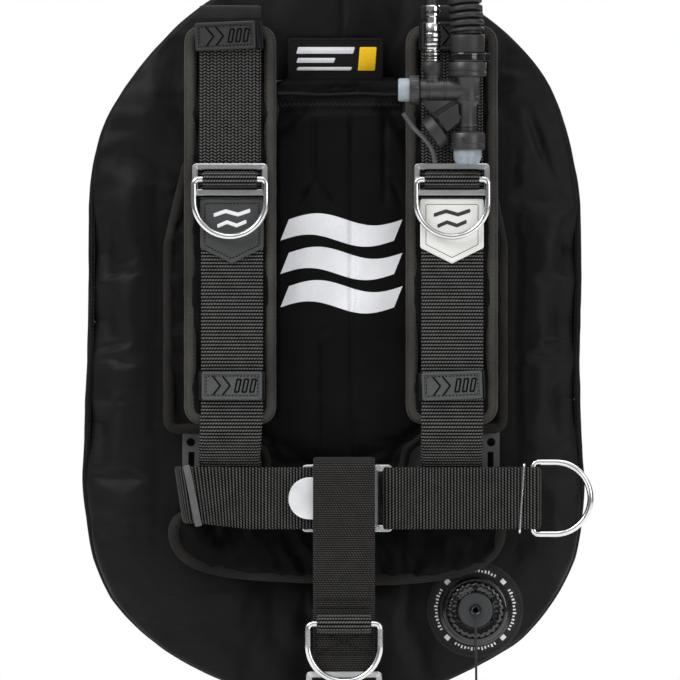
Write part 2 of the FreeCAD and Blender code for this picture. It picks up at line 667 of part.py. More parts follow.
CORRUGATED_ROUTE = [
    V(103.5, -96, 225.4), V(99, -92, 303), V(58, -43, 366),
    V(9, 14, 368), V(-24, 54, 315), V(-24, 54, 243),
]
FEED_ROUTE = [
    V(75, -96, 249.1), V(74, -94, 297), V(50, -72, 337), V(4, -24, 352), V(-40, 22, 340),
    V(-66, 52, 300), V(-75, 62, 241), V(-76, 61, 168), V(-72, 60, 96), V(-72, 60, 32),
]
PULL_CORD_ROUTE = [
    V(111, -31.3, -249.5), V(111.6, -33.6, -297), V(111.3, -33.0, -348), V(112.2, -32.6, -397),
]
BUNGEE_ROUTE = [
    V(51, -90, 161), V(59, -91, 149), V(69, -91, 140), V(76, -90, 130), V(77, -88, 120),
]


def make_hoses():
    """The corrugated hose to the wing elbow, the feed hose with its fitting, and the bungee."""
    wide, feed = dim("corrugated_diameter"), dim("feed_hose_diameter")
    bungee = dim("bungee_diameter")
    for name, route, diameter, smallest in (
        ("corrugated_hose", CORRUGATED_ROUTE, "corrugated_diameter", 3 * wide),
        ("feed_hose", FEED_ROUTE, "feed_hose_diameter", 5 * feed),
        ("retainer_bungee", BUNGEE_ROUTE, "bungee_diameter", 3 * bungee),
    ):
        keep(cord_tube(name, route, diameter, smallest), name)

    end = FEED_ROUTE[-1]
    down = V(0, 0, -1)
    hexagon = Part.makePolygon(arc_points(V(0, 0, 0), 8.1, 0, 360, 6))
    flats = doc.addObject("Part::Feature", "fitting_flats")
    flats.Shape = Part.Face(hexagon).extrude(V(0, 0, 7))
    flats.Placement.Base = end + down * 31.2
    solids = [
        cylinder("fitting_ferrule", 6.9, 22, end + down * 0.1, down),
        flats,
        cylinder("fitting_neck", 4.4, 6, end + down * 20, down),
        cylinder("fitting_thread", "$thread_radius", 9, end + down * 31, down),
    ]
    keep(fuse("feed_fitting", solids), "feed_fitting")


def make_elbow():
    """The elbow that takes the corrugated hose into the wing's rear, with its clamp."""
    rear = dim("wing_mid") + dim("wing_thickness") / 2
    end, radius = CORRUGATED_ROUTE[-1], dim("elbow_radius")
    outlet = V(end.x, rear + 0.3, end.z - 21)
    turn = V(end.x, end.y, outlet.z)
    bend = rounded_path([outlet, turn, end - Z_AXIS * 0.1], radius + 2)
    path = Part.Wire([curve.toShape() for curve in bend])
    section = Part.Wire([Part.Circle(outlet, V(0, 1, 0), radius).toShape()])
    pipe = doc.addObject("Part::Feature", "elbow_pipe")
    pipe.Shape = path.makePipeShell([section], True, False, 0)
    flange = cylinder("elbow_flange", 24, 3, outlet, V(0, 1, 0))
    keep(fuse("wing_elbow", [pipe, flange]), "wing_elbow")
    low = end - Z_AXIS * 5.2
    band = cylinder("elbow_band", "$elbow_radius + 1.6", 5, low)
    bore = cylinder("elbow_band_bore", "$elbow_radius + $running_clearance", 7, low - Z_AXIS)
    keep(cut("elbow_clamp", band, [bore]), "elbow_clamp")


# ---------------------------------------------------------------- dump valve


def make_dump_valve():
    """Pull dump on the wing's front: patch ring, body, slotted cap, centre disc, cord and knob."""
    forward = V(0, -1, 0)
    face = dim("wing_mid") - dim("wing_thickness") / 2 - 0.2
    at = V(VALVE.x, face, VALVE.z)
    ring = cylinder("valve_patch", "$valve_patch_radius", 1.6, at, forward)
    boss = cylinder("valve_boss", "$valve_body_radius", 8, at, forward)
    keep(fuse("valve_base", [ring, boss]), "valve_base")
    cap_at = at + forward * 8.1
    cap = cylinder("valve_cap_solid", "$valve_cap_radius", 7, cap_at, forward)
    bore = cylinder("valve_cap_bore", "$valve_disc_radius + 0.6", 9, cap_at, forward)
    slots = []
    for i in range(6):
        angle = math.radians(60 * i + 30)
        spot = V(math.cos(angle), 0, math.sin(angle)) * 20
        slots.append(cylinder(f"valve_slot_{i}", 2.2, 12, cap_at + spot + forward * 4, forward))
    keep(cut("valve_cap", cap, [bore] + slots), "valve_cap")
    disc_at = at + forward * 12.6
    disc = cylinder("valve_disc_plate", "$valve_disc_radius", 4, disc_at, forward)
    eyelet = cylinder("valve_eyelet", 5, 2.6, disc_at + forward * 4, forward)
    keep(fuse("valve_disc", [disc, eyelet]), "valve_disc")
    cord = cord_tube("pull_cord", PULL_CORD_ROUTE, "pull_cord_diameter", 10)
    keep(cord, "pull_cord")
    end = PULL_CORD_ROUTE[-1]
    knob = cylinder("pull_knob", 7, 20, end + V(0, 0, -0.1), V(0, 0, -1))
    keep(knob, "pull_knob")


# ---------------------------------------------------------------- build, check and write


def write_nodes():
    """Check every object, then write each node's shape to its own file."""
    doc.recompute()
    failed = [o.Name for o in doc.Objects if {"Invalid", "Error"} & set(o.State)]
    assert not failed, failed
    for node in nodes:
        shape = node.Shape
        assert not shape.isNull() and shape.isValid() and shape.Solids, node.Label
    labels = [node.Label for node in nodes]
    assert len(set(labels)) == len(labels) <= 60, len(labels)
    os.makedirs("parts", exist_ok=True)
    for old in os.listdir("parts"):
        os.remove(os.path.join("parts", old))
    for node in nodes:
        node.Shape.exportStep(f"parts/{node.Label}.step")
    print(len(nodes), "nodes written")


make_backplate()
make_pads()
make_wing()
for side, sign in (("right", -1), ("left", 1)):
    make_shoulder(side, sign)
make_belt()
make_buckle()
make_crotch()
make_inflator()
make_coupler()
make_hoses()
make_elbow()
make_dump_valve()
write_nodes()
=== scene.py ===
import math

import bmesh
import bpy
import numpy as np
from mathutils import Matrix, Vector
from mathutils import noise as perlin
from mathutils.bvhtree import BVHTree


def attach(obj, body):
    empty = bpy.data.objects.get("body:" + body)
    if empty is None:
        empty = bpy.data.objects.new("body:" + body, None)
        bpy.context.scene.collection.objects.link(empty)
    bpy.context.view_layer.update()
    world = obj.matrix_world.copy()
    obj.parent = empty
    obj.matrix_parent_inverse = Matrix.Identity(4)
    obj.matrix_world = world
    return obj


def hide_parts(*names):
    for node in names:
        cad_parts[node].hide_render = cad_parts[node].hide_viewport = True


# Buoyancy compensator vest, in metres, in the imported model's own frame: +Z up, the wearer's
# chest towards -Y, +X to the wearer's left. "left" and "right" are the wearer's.

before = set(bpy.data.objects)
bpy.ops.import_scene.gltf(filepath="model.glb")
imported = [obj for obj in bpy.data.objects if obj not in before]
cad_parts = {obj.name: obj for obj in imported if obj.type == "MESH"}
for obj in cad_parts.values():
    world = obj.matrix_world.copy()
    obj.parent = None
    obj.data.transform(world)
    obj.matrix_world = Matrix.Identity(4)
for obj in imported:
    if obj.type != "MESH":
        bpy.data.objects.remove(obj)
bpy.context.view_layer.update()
MM = 0.001

SIDES = (("right", -1), ("left", 1))
STRAP_X = 91.0
STRAP_Y = -76.0
STRAP_TOP_Y = -66.0
BELT_Y = -66.0
BELT_Z = -154.5
CROTCH_X = 2.5
CROTCH_Y = -86.0
WING_MID = 7.0
WEBBING_WIDTH = 50.8
WEBBING_THICKNESS = 2.5
INFLATOR = (103.5, -96.0)
MOUTH_ROOT, MOUTH_AXIS = Vector((95.1, INFLATOR[1], 159.4)), Vector((-0.8, 0, -0.6))
COUPLER_X = 75.0
BARREL_Z = 180.0
VALVE_X, VALVE_Z = 111.0, -247.5
WING_LOW, WING_HIGH = (-211.0, -320.0), (200.0, 281.0)
WING_HALF = 14.0
PAD_MID = -22.5 - 12.5 / 2
PAD_DEPTH = 11.0
HEM_SEAM_Z, HEM_FOLD_Z = 165.0, 178.0
BOLT_Z = 139.7
SLIDE_Z = 107.0
RIGHT_SHIFT = 1.6
FLOOR_Z = -0.43

# The cords' routes, as in the CAD source.
CORRUGATED_ROUTE = [
    (103.5, -96, 225.4), (99, -92, 303), (58, -43, 366), (9, 14, 368), (-24, 54, 315), (-24, 54, 243),
]
FEED_ROUTE = [
    (75, -96, 249.1), (74, -94, 297), (50, -72, 337), (4, -24, 352), (-40, 22, 340),
    (-66, 52, 300), (-75, 62, 241), (-76, 61, 168), (-72, 60, 96), (-72, 60, 32),
]
PULL_CORD_ROUTE = [(111, -31.3, -249.5), (111.6, -33.6, -297), (111.3, -33.0, -348), (112.2, -32.6, -397)]
BUNGEE_ROUTE = [(51, -90, 161), (59, -91, 149), (69, -91, 140), (76, -90, 130), (77, -88, 120)]


# ---------------------------------------------------------------- camera, light and floor


def make_stage():
    """Camera square to the front, a pale floor under the vest and soft light from large lamps."""
    scene = bpy.context.scene
    distance, view_width, eye_x, eye_z = 8.0, 0.5576, -0.0008, -0.0246
    camera = bpy.data.cameras.new("camera")
    camera.sensor_width = 36.0
    camera.lens = 36.0 * distance / view_width
    camera.clip_end = 60.0
    eye = bpy.data.objects.new("camera", camera)
    eye.location = (eye_x, STRAP_Y * MM - distance, eye_z)
    eye.rotation_euler = (math.pi / 2, 0, 0)
    scene.collection.objects.link(eye)
    scene.camera = eye
    scene.view_settings.view_transform = "Standard"

    world = bpy.data.worlds.new("studio")
    world.use_nodes = True
    scene.world = world
    tree = world.node_tree
    ramp = tree.nodes.new("ShaderNodeValToRGB")
    ramp.color_ramp.elements[0].position = 0.12
    ramp.color_ramp.elements[0].color = (0.2, 0.2, 0.2, 1)
    ramp.color_ramp.elements[1].position = 0.7
    ramp.color_ramp.elements[1].color = (1, 1, 1, 1)
    split = tree.nodes.new("ShaderNodeSeparateXYZ")
    where = tree.nodes.new("ShaderNodeTexCoord")
    tree.links.new(where.outputs["Generated"], split.inputs[0])
    tree.links.new(split.outputs["Z"], ramp.inputs["Fac"])
    tree.links.new(ramp.outputs["Color"], tree.nodes["Background"].inputs["Color"])
    plain = tree.nodes.new("ShaderNodeBackground")
    plain.inputs["Color"].default_value = (1, 1, 1, 1)
    path = tree.nodes.new("ShaderNodeLightPath")
    mix = tree.nodes.new("ShaderNodeMixShader")
    tree.links.new(path.outputs["Is Camera Ray"], mix.inputs["Fac"])
    tree.links.new(tree.nodes["Background"].outputs["Background"], mix.inputs[1])
    tree.links.new(plain.outputs["Background"], mix.inputs[2])
    tree.links.new(mix.outputs["Shader"], tree.nodes["World Output"].inputs["Surface"])

    lamps = (
        ("key_lamp", (-1.7, -1.7, 1.9), 58.0, 1.5),
        ("fill_lamp", (2.1, -2.2, 0.6), 26.0, 1.5),
        ("top_lamp", (0.2, -0.5, 2.3), 16.0, 1.4),
        ("back_lamp", (0.6, 2.2, 1.4), 30.0, 1.8),
    )
    for name, place, power, size in lamps:
        lamp = bpy.data.lights.new(name, "AREA")
        lamp.energy = power
        lamp.size = size
        light = bpy.data.objects.new(name, lamp)
        light.location = place
        light.rotation_euler = (-Vector(place)).to_track_quat("-Z", "Y").to_euler()
        scene.collection.objects.link(light)

    floor_radius = 2.4
    outline = circle((0, 0), floor_radius, 96)
    floor = new_mesh("floor", [(x, y, FLOOR_Z) for x, y in outline], [tuple(range(len(outline)))])
    floor.data.materials.append(surface("floor_paint", (0.86, 0.86, 0.85), 0.8, speckle=(0.02, 30.0)))


# ---------------------------------------------------------------- materials


class Look:
    """A procedural material: a Principled shader with nodes for colour, roughness and bump."""

    def __init__(self, name, colour, roughness, metallic=0.0, specular=0.5):
        self.material = bpy.data.materials.new(name)
        self.material.use_nodes = True
        self.tree = self.material.node_tree
        self.shader = self.tree.nodes["Principled BSDF"]
        self.put("Base Color", (*colour, 1.0))
        self.put("Roughness", roughness)
        self.put("Metallic", metallic)
        self.put("Specular IOR Level", specular)
        self.place = self.tree.nodes.new("ShaderNodeTexCoord").outputs["Object"]
        self.weave = self.tree.nodes.new("ShaderNodeUVMap").outputs["UV"]
        self.height = None

    def put(self, socket, value):
        """Sets one of the shader's plain values."""
        self.shader.inputs[socket].default_value = value

    def node(self, kind, **settings):
        """A new node with its settings."""
        made = self.tree.nodes.new("ShaderNode" + kind)
        for key, value in settings.items():
            setattr(made, key, value)
        return made

    def link(self, source, target):
        self.tree.links.new(source, target)

    def sum(self, operation, first, second=0.0, third=0.0):
        """A Math node; each operand is a number or another node's output."""
        made = self.node("Math", operation=operation)
        for socket, value in zip(made.inputs, (first, second, third)):
            if isinstance(value, (int, float)):
                socket.default_value = value
            else:
                self.link(value, socket)
        return made.outputs[0]

    def noise(self, scale, detail=3.0, stretch=(1, 1, 1), uv=False):
        """Noise from 0 to 1 in the object's own metres, or along the strap's uv."""
        mapping = self.node("Mapping")
        self.link(self.weave if uv else self.place, mapping.inputs["Vector"])
        mapping.inputs["Scale"].default_value = stretch
        made = self.node("TexNoise")
        made.inputs["Scale"].default_value = scale
        made.inputs["Detail"].default_value = detail
        self.link(mapping.outputs["Vector"], made.inputs["Vector"])
        return made.outputs["Fac"]

    def axis(self, name, uv=False):
        """One coordinate of the object's own place, or of the strap's uv."""
        split = self.node("SeparateXYZ")
        self.link(self.weave if uv else self.place, split.inputs[0])
        return split.outputs[name]

    def wave(self, value, pitch):
        """A smooth wave from 0 to 1 along a coordinate in metres."""
        turned = self.sum("SINE", self.sum("MULTIPLY", value, math.tau / pitch))
        return self.sum("MULTIPLY_ADD", turned, 0.5, 0.5)

    def shade(self, factor, dark, light, low=0.0, high=1.0):
        """Base colour between two colours by a factor."""
        ramp = self.node("ValToRGB")
        self.link(factor, ramp.inputs["Fac"])
        ramp.color_ramp.elements[0].position = low
        ramp.color_ramp.elements[0].color = (*dark, 1)
        ramp.color_ramp.elements[1].position = high
        ramp.color_ramp.elements[1].color = (*light, 1)
        self.link(ramp.outputs["Color"], self.shader.inputs["Base Color"])

    def rough(self, factor, low, high):
        """Roughness between two values by a factor."""
        span = self.node("MapRange")
        self.link(factor, span.inputs["Value"])
        span.inputs["To Min"].default_value = low
        span.inputs["To Max"].default_value = high
        self.link(span.outputs["Result"], self.shader.inputs["Roughness"])

    def bump(self, factor, depth, strength=1.0):
        """Adds a relief of the given depth in metres."""
        made = self.node("Bump")
        made.inputs["Distance"].default_value = depth
        made.inputs["Strength"].default_value = strength
        self.link(factor, made.inputs["Height"])
        if self.height is not None:
            self.link(self.height, made.inputs["Normal"])
        self.height = made.outputs["Normal"]
        self.link(self.height, self.shader.inputs["Normal"])

    def fabric_weave(self, pitch):
        """Crossed threads, across and up."""
        return self.sum("MULTIPLY", self.wave(self.axis("X"), pitch), self.wave(self.axis("Z"), pitch))


def surface(name, colour, roughness, metallic=0.0, specular=0.5, speckle=(0.1, 60.0), grain=None):
    """A moulded or painted surface: colour a little uneven, roughness by wear, fine grain bump."""
    look = Look(name, colour, roughness, metallic, specular)
    spread, scale = speckle
    patchy = look.noise(scale, 4.0)
    dark = tuple(c * (1 - spread) for c in colour)
    light = tuple(min(1.0, c * (1 + spread) + 0.004 * spread) for c in colour)
    look.shade(patchy, dark, light, 0.3, 0.7)
    look.rough(look.noise(scale * 2.3, 3.0), max(0.02, roughness - 0.1), min(1.0, roughness + 0.12))
    if grain:
        look.bump(look.noise(grain[1], 2.0), grain[0])
    return look.material


def cloth(name, dark, light, roughness, weave_pitch, weave_depth, wrinkle=0.0, fuzz=0.05, specular=0.09,
          streak=0.0):
    """Woven cloth: two crossed thread waves, uneven dye, a fibre sheen and optional soft wrinkles."""
    look = Look(name, light, roughness, specular=specular)
    threads = look.fabric_weave(weave_pitch)
    patchy = look.noise(22.0, 5.0)
    fibre = look.noise(1400.0, 2.0)
    fine = look.sum("MULTIPLY", fibre, 0.45 - streak / 2)
    mixed = look.sum("MULTIPLY_ADD", patchy, 0.55 - streak / 2, fine)
    if streak:
        mixed = look.sum("MULTIPLY_ADD", look.noise(520.0, 3.0, (0.04, 0.3, 1.0)), streak, mixed)
    look.shade(mixed, dark, light, 0.34, 0.68)
    look.rough(patchy, roughness - 0.08, min(1.0, roughness + 0.08))
    if wrinkle:
        look.bump(look.noise(34.0, 3.0, (1.0, 1.0, 0.45)), wrinkle)
    look.bump(threads, weave_depth, 0.6)
    look.bump(fibre, weave_depth * 0.6, 0.4)
    look.put("Sheen Weight", fuzz)
    look.put("Sheen Roughness", 0.45)
    return look.material


def ribbed(name, groove, ridge, pitch):
    """Ribbed webbing: colour follows the ribs along the strap, with warp threads across them: painted
    highlight on the ribs and threads, painted shade in the grooves between them, and uneven wear.
    """
    look = Look(name, ridge, 0.78, specular=0.05)
    across, along = look.axis("X", uv=True), look.axis("Y", uv=True)
    ribs = look.wave(along, pitch)
    threads = look.wave(look.sum("MULTIPLY_ADD", along, 0.5, across), 0.0023)
    wear = look.noise(90.0, 4.0, uv=True)
    fibre = look.noise(900.0, 2.0, uv=True)
    # lit: painted highlight on the ribs and threads and painted shade between them, then times uneven wear.
    lit = look.sum("MULTIPLY", ribs, look.sum("MULTIPLY_ADD", threads, 0.6, 0.4))
    lit = look.sum("MULTIPLY", lit, look.sum("MULTIPLY_ADD", wear, 0.7, 0.6))
    lit = look.sum("ADD", lit, look.sum("MULTIPLY_ADD", fibre, 0.3, -0.15))
    look.shade(lit, groove, ridge, 0.16, 0.8)
    look.bump(threads, 0.00025, 0.7)
    look.bump(fibre, 0.00012, 0.5)
    look.put("Sheen Weight", 0.03)
    look.put("Sheen Roughness", 0.5)
    return look.material


def herringbone(name, dark, light):
    """Fine herringbone webbing: short diagonal threads that turn at every column, coloured as painted
    highlight on the raised threads and painted shade between them.
    """
    look = Look(name, light, 0.78, specular=0.05)
    across, along = look.axis("X", uv=True), look.axis("Y", uv=True)
    column = look.sum("PINGPONG", across, 0.0029)
    diagonal = look.wave(look.sum("MULTIPLY_ADD", column, 0.55, along), 0.0026)
    wear = look.noise(110.0, 4.0, uv=True)
    ends = look.sum("MULTIPLY_ADD", look.wave(across, 0.0029), -0.7, 1.0)
    worn = look.sum("MULTIPLY_ADD", wear, 0.7, 0.65)
    # lit: painted highlight on the raised diagonal threads and painted shade between them and across the
    # columns, then times uneven wear.
    lit = look.sum("MULTIPLY", look.sum("MULTIPLY", diagonal, ends), worn)
    look.shade(lit, dark, light, 0.12, 0.7)
    look.bump(diagonal, 0.0003, 0.8)
    look.bump(look.noise(1100.0, 2.0, uv=True), 0.00012, 0.5)
    look.put("Sheen Weight", 0.03)
    return look.material


def steel(name, colour, roughness, scratch=(1, 1, 1)):
    """Polished steel with fine scratches, faint smears and rougher worn spots."""
    look = Look(name, colour, roughness, metallic=1.0)
    smear = look.noise(45.0, 4.0)
    fine = look.noise(520.0, 3.0, scratch)
    look.shade(smear, tuple(c * 0.86 for c in colour), colour, 0.3, 0.7)
    worn = look.sum("MULTIPLY_ADD", smear, 0.6, look.sum("MULTIPLY", fine, 0.4))
    look.rough(worn, roughness * 0.6, roughness * 1.7)
    look.bump(fine, 0.00006, 0.35)
    return look.material


def make_materials():
    """Every material of the vest, by the name that finish_piece takes."""
    return {
        "wing": cloth("wing_canvas", (0.0014, 0.0014, 0.0016), (0.0058, 0.0058, 0.0062), 0.5, 0.0009,
                      0.00009, wrinkle=0.0018, fuzz=0.005, specular=0.13, streak=0.4),
        "pad": cloth("pad_cloth", (0.0006, 0.0006, 0.0007), (0.0034, 0.0034, 0.0035), 0.6, 0.0013, 0.00018,
                     wrinkle=0.0008, fuzz=0.0, specular=0.07, streak=0.3),
        "binding": cloth("edge_binding", (0.018, 0.017, 0.0155), (0.056, 0.052, 0.047), 0.85, 0.0011, 0.0002,
                         fuzz=0.05),
        "pad_binding": cloth("pad_edge_binding", (0.005, 0.0048, 0.0043), (0.024, 0.0225, 0.020), 0.85,
                             0.0011, 0.0002, fuzz=0.03),
        "wing_binding": cloth("wing_edge_binding", (0.003, 0.003, 0.003), (0.011, 0.0107, 0.010), 0.75,
                              0.0012, 0.0002, fuzz=0.02),
        "label": cloth("label_weave", (0.003, 0.003, 0.003), (0.010, 0.010, 0.010), 0.7, 0.0008, 0.00015),
        "elastic": ribbed("keeper_elastic", (0.003, 0.003, 0.0032), (0.026, 0.026, 0.029), 0.0012),
        "webbing": ribbed("ribbed_webbing", (0.0008, 0.0008, 0.0008), (0.105, 0.104, 0.101), 0.0028),
        "belt_webbing": ribbed("belt_webbing", (0.0008, 0.0008, 0.0008), (0.074, 0.072, 0.069), 0.0026),
        "crotch_webbing": ribbed("crotch_webbing", (0.005, 0.005, 0.0048), (0.046, 0.044, 0.041), 0.0018),
        "webbing_fine": herringbone("herringbone_webbing", (0.0010, 0.0010, 0.0010), (0.075, 0.0735, 0.071)),
        "webbing_plain": cloth("plain_webbing", (0.001, 0.001, 0.001), (0.020, 0.0195, 0.0185), 0.75,
                               0.0019, 0.0003, fuzz=0.02),
        "valve_patch": cloth("valve_patch_cloth", (0.011, 0.011, 0.011), (0.027, 0.027, 0.026), 0.6,
                             0.0009, 0.0001),
        "thread": cloth("stitch_thread", (0.004, 0.004, 0.004), (0.017, 0.0165, 0.0155),
            0.7, 0.0005, 0.00008),
        "thread_white": cloth("white_thread", (0.5, 0.5, 0.48), (0.75, 0.75, 0.73), 0.7, 0.0005, 0.00008),
        "print_white": cloth("white_print", (0.56, 0.57, 0.60), (0.74, 0.75, 0.78), 0.6, 0.0012, 0.0001,
                             fuzz=0.1),
        "print_yellow": cloth("yellow_print", (0.75, 0.42, 0.01), (0.95, 0.6, 0.02), 0.6, 0.0008, 0.0001),
        "badge": surface("badge_rubber", (0.040, 0.042, 0.042), 0.5, grain=(0.00009, 1500.0)),
        # The upper badges' rubber: a darker copy of the badge rubber, painted shade.
        "badge_upper_shaded": surface("badge_rubber_painted_shade", (0.0095, 0.0098, 0.0098), 0.5, grain=(0.00009, 1500.0)),
        "badge_dark": surface("badge_recess", (0.0015, 0.0015, 0.0015), 0.9, specular=0.1),
        "patch_grey": surface("patch_grey_rubber", (0.026, 0.027, 0.028), 0.6, grain=(0.0001, 1200.0)),
        "patch_white": surface("patch_white_rubber", (0.66, 0.66, 0.64), 0.5, speckle=(0.03, 40.0),
                               grain=(0.00005, 900.0)),
        "ink": surface("black_inlay", (0.012, 0.012, 0.012), 0.55, grain=(0.00005, 1500.0)),
        "plate": surface("plate_coating", (0.072, 0.073, 0.075), 0.5, 0.1, grain=(0.00008, 900.0)),
        "plastic": surface("satin_plastic", (0.017, 0.017, 0.018), 0.38, grain=(0.00003, 1800.0)),
        "gloss": surface("gloss_plastic", (0.003, 0.003, 0.0034), 0.11, specular=0.65),
        "rubber": surface("hose_rubber", (0.0065, 0.0065, 0.0065), 0.5, grain=(0.00005, 1300.0)),
        "button": surface("button_grey", (0.23, 0.27, 0.30), 0.38, speckle=(0.08, 90.0),
                          grain=(0.00004, 1500.0)),
        "disc": surface("valve_disc_grey", (0.017, 0.019, 0.022), 0.45, grain=(0.00004, 1500.0)),
        "film": surface("bladder_film", (0.012, 0.012, 0.013), 0.3, grain=(0.00002, 300.0)),
        "strip": surface("slide_grey", (0.09, 0.09, 0.09), 0.45, 0.3, speckle=(0.15, 80.0),
                         grain=(0.00005, 1200.0)),
        "steel": steel("polished_steel", (0.70, 0.71, 0.72), 0.15),
        "silver": steel("satin_steel", (0.86, 0.87, 0.90), 0.42),
        "steel_flat": steel("brushed_steel", (0.58, 0.59, 0.60), 0.28, (1.0, 1.0, 14.0)),
        "chrome": steel("chrome_plate", (0.82, 0.83, 0.84), 0.09),
        "cord": cloth("braided_cord", (0.012, 0.012, 0.012), (0.05, 0.05, 0.05), 0.75, 0.0012, 0.0002),
        "bungee": cloth("braided_bungee", (0.045, 0.046, 0.048), (0.14, 0.145, 0.15), 0.7, 0.0014, 0.0003),
    }


# ---------------------------------------------------------------- mesh makers


def new_mesh(name, points, faces, uvs=None):
    """A mesh object from points in metres; uvs, if given, is one pair for each point."""
    mesh = bpy.data.meshes.new(name)
    mesh.from_pydata([tuple(p) for p in points], [], faces)
    mesh.update()
    if uvs is not None:
        layer = mesh.uv_layers.new(name="UVMap")
        order = np.empty(len(mesh.loops), dtype=np.int32)
        mesh.loops.foreach_get("vertex_index", order)
        layer.data.foreach_set("uv", np.asarray(uvs, dtype=np.float32)[order].ravel())
    made = bpy.data.objects.new(name, mesh)
    bpy.context.scene.collection.objects.link(made)
    return made


def grid_faces(rows, columns, loop_rows=False, loop_columns=True):
    """Quads between rows of points; a loop also joins the last row or column to the first."""
    faces = []
    for i in range(rows if loop_rows else rows - 1):
        j = (i + 1) % rows
        for k in range(columns if loop_columns else columns - 1):
            n = (k + 1) % columns
            faces.append((i * columns + k, i * columns + n, j * columns + n, j * columns + k))
    return faces


def closed_faces(rows, columns):
    """The sides of a lofted piece and its two ends."""
    last = (rows - 1) * columns
    return grid_faces(rows, columns) + [tuple(range(columns))[::-1], tuple(range(last, last + columns))]


def circle(centre, radius, count):
    """Even points round a full circle."""
    turns = [math.tau * k / count for k in range(count)]
    return [(centre[0] + radius * math.cos(a), centre[1] + radius * math.sin(a)) for a in turns]


def arc(centre, radius, start, end, step):
    """Points every so many degrees along an arc, up to but without its end."""
    turns = [math.radians(a) for a in range(start, end, step)]
    return [(centre[0] + radius * math.cos(a), centre[1] + radius * math.sin(a)) for a in turns]


def tidy_normals(obj):
    """Turns every face outwards."""
    mesh = bmesh.new()
    mesh.from_mesh(obj.data)
    bmesh.ops.recalc_face_normals(mesh, faces=mesh.faces)
    mesh.to_mesh(obj.data)
    mesh.free()
    return obj


def smooth(obj, angle=None):
    """Smooth shading, with edges over the angle in degrees left sharp."""
    obj.data.shade_smooth()
    if angle is not None:
        obj.data.set_sharp_from_angle(angle=math.radians(angle))
    return obj


def finish_piece(obj, body, material, replaced=()):
    """Material, CAD body and the CAD nodes that the piece stands for."""
    obj.data.materials.clear()
    obj.data.materials.append(PAINT[material])
    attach(obj, body)
    if replaced:
        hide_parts(*replaced)
    return obj


def joined(name, parts):
    """Several mesh objects joined into one."""
    for part in parts:
        part.select_set(False)
    with bpy.context.temp_override(active_object=parts[0], selected_editable_objects=parts):
        bpy.ops.object.join()
    parts[0].name = name
    parts[0].data.name = name
    return parts[0]


def resample(points, step, rounds=3):
    """Even steps along a line whose corners have been cut smooth."""
    line = np.array(points, dtype=float)
    for _ in range(rounds):
        quarter = line[:-1] * 0.75 + line[1:] * 0.25
        three = line[:-1] * 0.25 + line[1:] * 0.75
        middle = np.empty((2 * len(quarter), line.shape[1]))
        middle[0::2], middle[1::2] = quarter, three
        line = np.vstack([line[:1], middle, line[-1:]])
    reach = np.concatenate([[0], np.cumsum(np.linalg.norm(np.diff(line, axis=0), axis=1))])
    count = max(2, int(round(reach[-1] / step)) + 1)
    even = np.linspace(0, reach[-1], count)
    return np.stack([np.interp(even, reach, line[:, i]) for i in range(line.shape[1])], axis=1), even


def strap(name, line, across, width, thickness, rib, step, drift=None):
    """A woven strap along a line in mm: flat section with a rounded selvage, and raised ribs.
    rib is the ribs' pitch and depth, and drift(point) moves the strap sideways."""
    centre, reach = resample(line, step)
    along = np.gradient(centre, axis=0)
    along /= np.linalg.norm(along, axis=1)[:, None]
    across = np.array(across, dtype=float)
    out = np.cross(along, across)
    out /= np.linalg.norm(out, axis=1)[:, None]
    pitch, depth = rib
    u = np.sin(np.linspace(-math.pi / 2, math.pi / 2, 14))
    edge = np.clip((1 - np.abs(u)) / 0.10, 0, 1)
    body = thickness / 2 * np.sqrt(edge) * 0.96
    selvage = np.clip((0.93 - np.abs(u)) / 0.05, 0, 1)
    ridge = depth * (0.5 + 0.5 * np.sin(math.tau * reach / pitch)) - depth * 0.5
    sway = np.zeros(len(reach)) if drift is None else np.array([drift(p) for p in centre])
    front = list(zip(u, body, selvage))
    points, uvs = [], []
    for side, columns in ((1, front), (-1, front[::-1][1:-1])):
        for place, rise, ribbed_share in columns:
            lift = (rise + ridge * ribbed_share)[:, None]
            points.append(centre + across * (place * width / 2 + sway)[:, None] + out * side * lift)
            uvs.append(np.stack([np.full(len(reach), place * width / 2), reach], axis=1))
    rows, ring = len(reach), len(points)
    points = np.array(points).transpose(1, 0, 2).reshape(-1, 3) * MM
    uvs = np.array(uvs).transpose(1, 0, 2).reshape(-1, 2) * MM
    faces = [face[:1] + face[:0:-1] for face in closed_faces(rows, ring)]
    return smooth(new_mesh(name, points, faces, uvs), 60)


def rounded(corners, radius, inset=0.0, steps=5):
    """A polygon's edges moved in by inset, with its corners rounded: the same count for any inset."""
    count = len(corners)
    pts = [Vector((*c, 0)) for c in corners]
    area = sum((pts[i - 1].cross(pts[i])).z for i in range(count))
    turn = 1 if area > 0 else -1
    lines = []
    for i in range(count):
        a, b = pts[i], pts[(i + 1) % count]
        d = (b - a).normalized()
        n = Vector((-d.y, d.x, 0)) * turn
        lines.append((a + n * inset, d))
    outline = []
    for i in range(count):
        (p, d), (q, e) = lines[i - 1], lines[i]
        cross = d.x * e.y - d.y * e.x
        t = ((q.x - p.x) * e.y - (q.y - p.y) * e.x) / cross
        corner = p + d * t
        half = (math.pi - abs(math.atan2(cross, d.dot(e)))) / 2
        convex = cross * turn > 0
        r = max(0.15, radius - inset if convex else radius + inset)
        reach = r / math.tan(half)
        start, end = corner - d * reach, corner + e * reach
        for s in range(steps + 1):
            w = s / steps
            outline.append(start * (1 - w) ** 2 + corner * 2 * w * (1 - w) + end * w ** 2)
    return [(v.x, v.y) for v in outline]


def relief(name, corners, radius, levels, origin):
    """A flat moulding built in steps (inset, height) from its back edge to its middle.
    The outline lies in XZ and rises towards the front (-Y) from origin's Y."""
    rings = [(rounded(corners, radius, inset), height) for inset, height in levels]
    points = [((origin[0] + x) * MM, (origin[1] - height) * MM, (origin[2] + z) * MM)
              for outline, height in rings for x, z in outline]
    made = new_mesh(name, points, closed_faces(len(rings), len(rings[0][0])))
    return smooth(tidy_normals(made), 35)


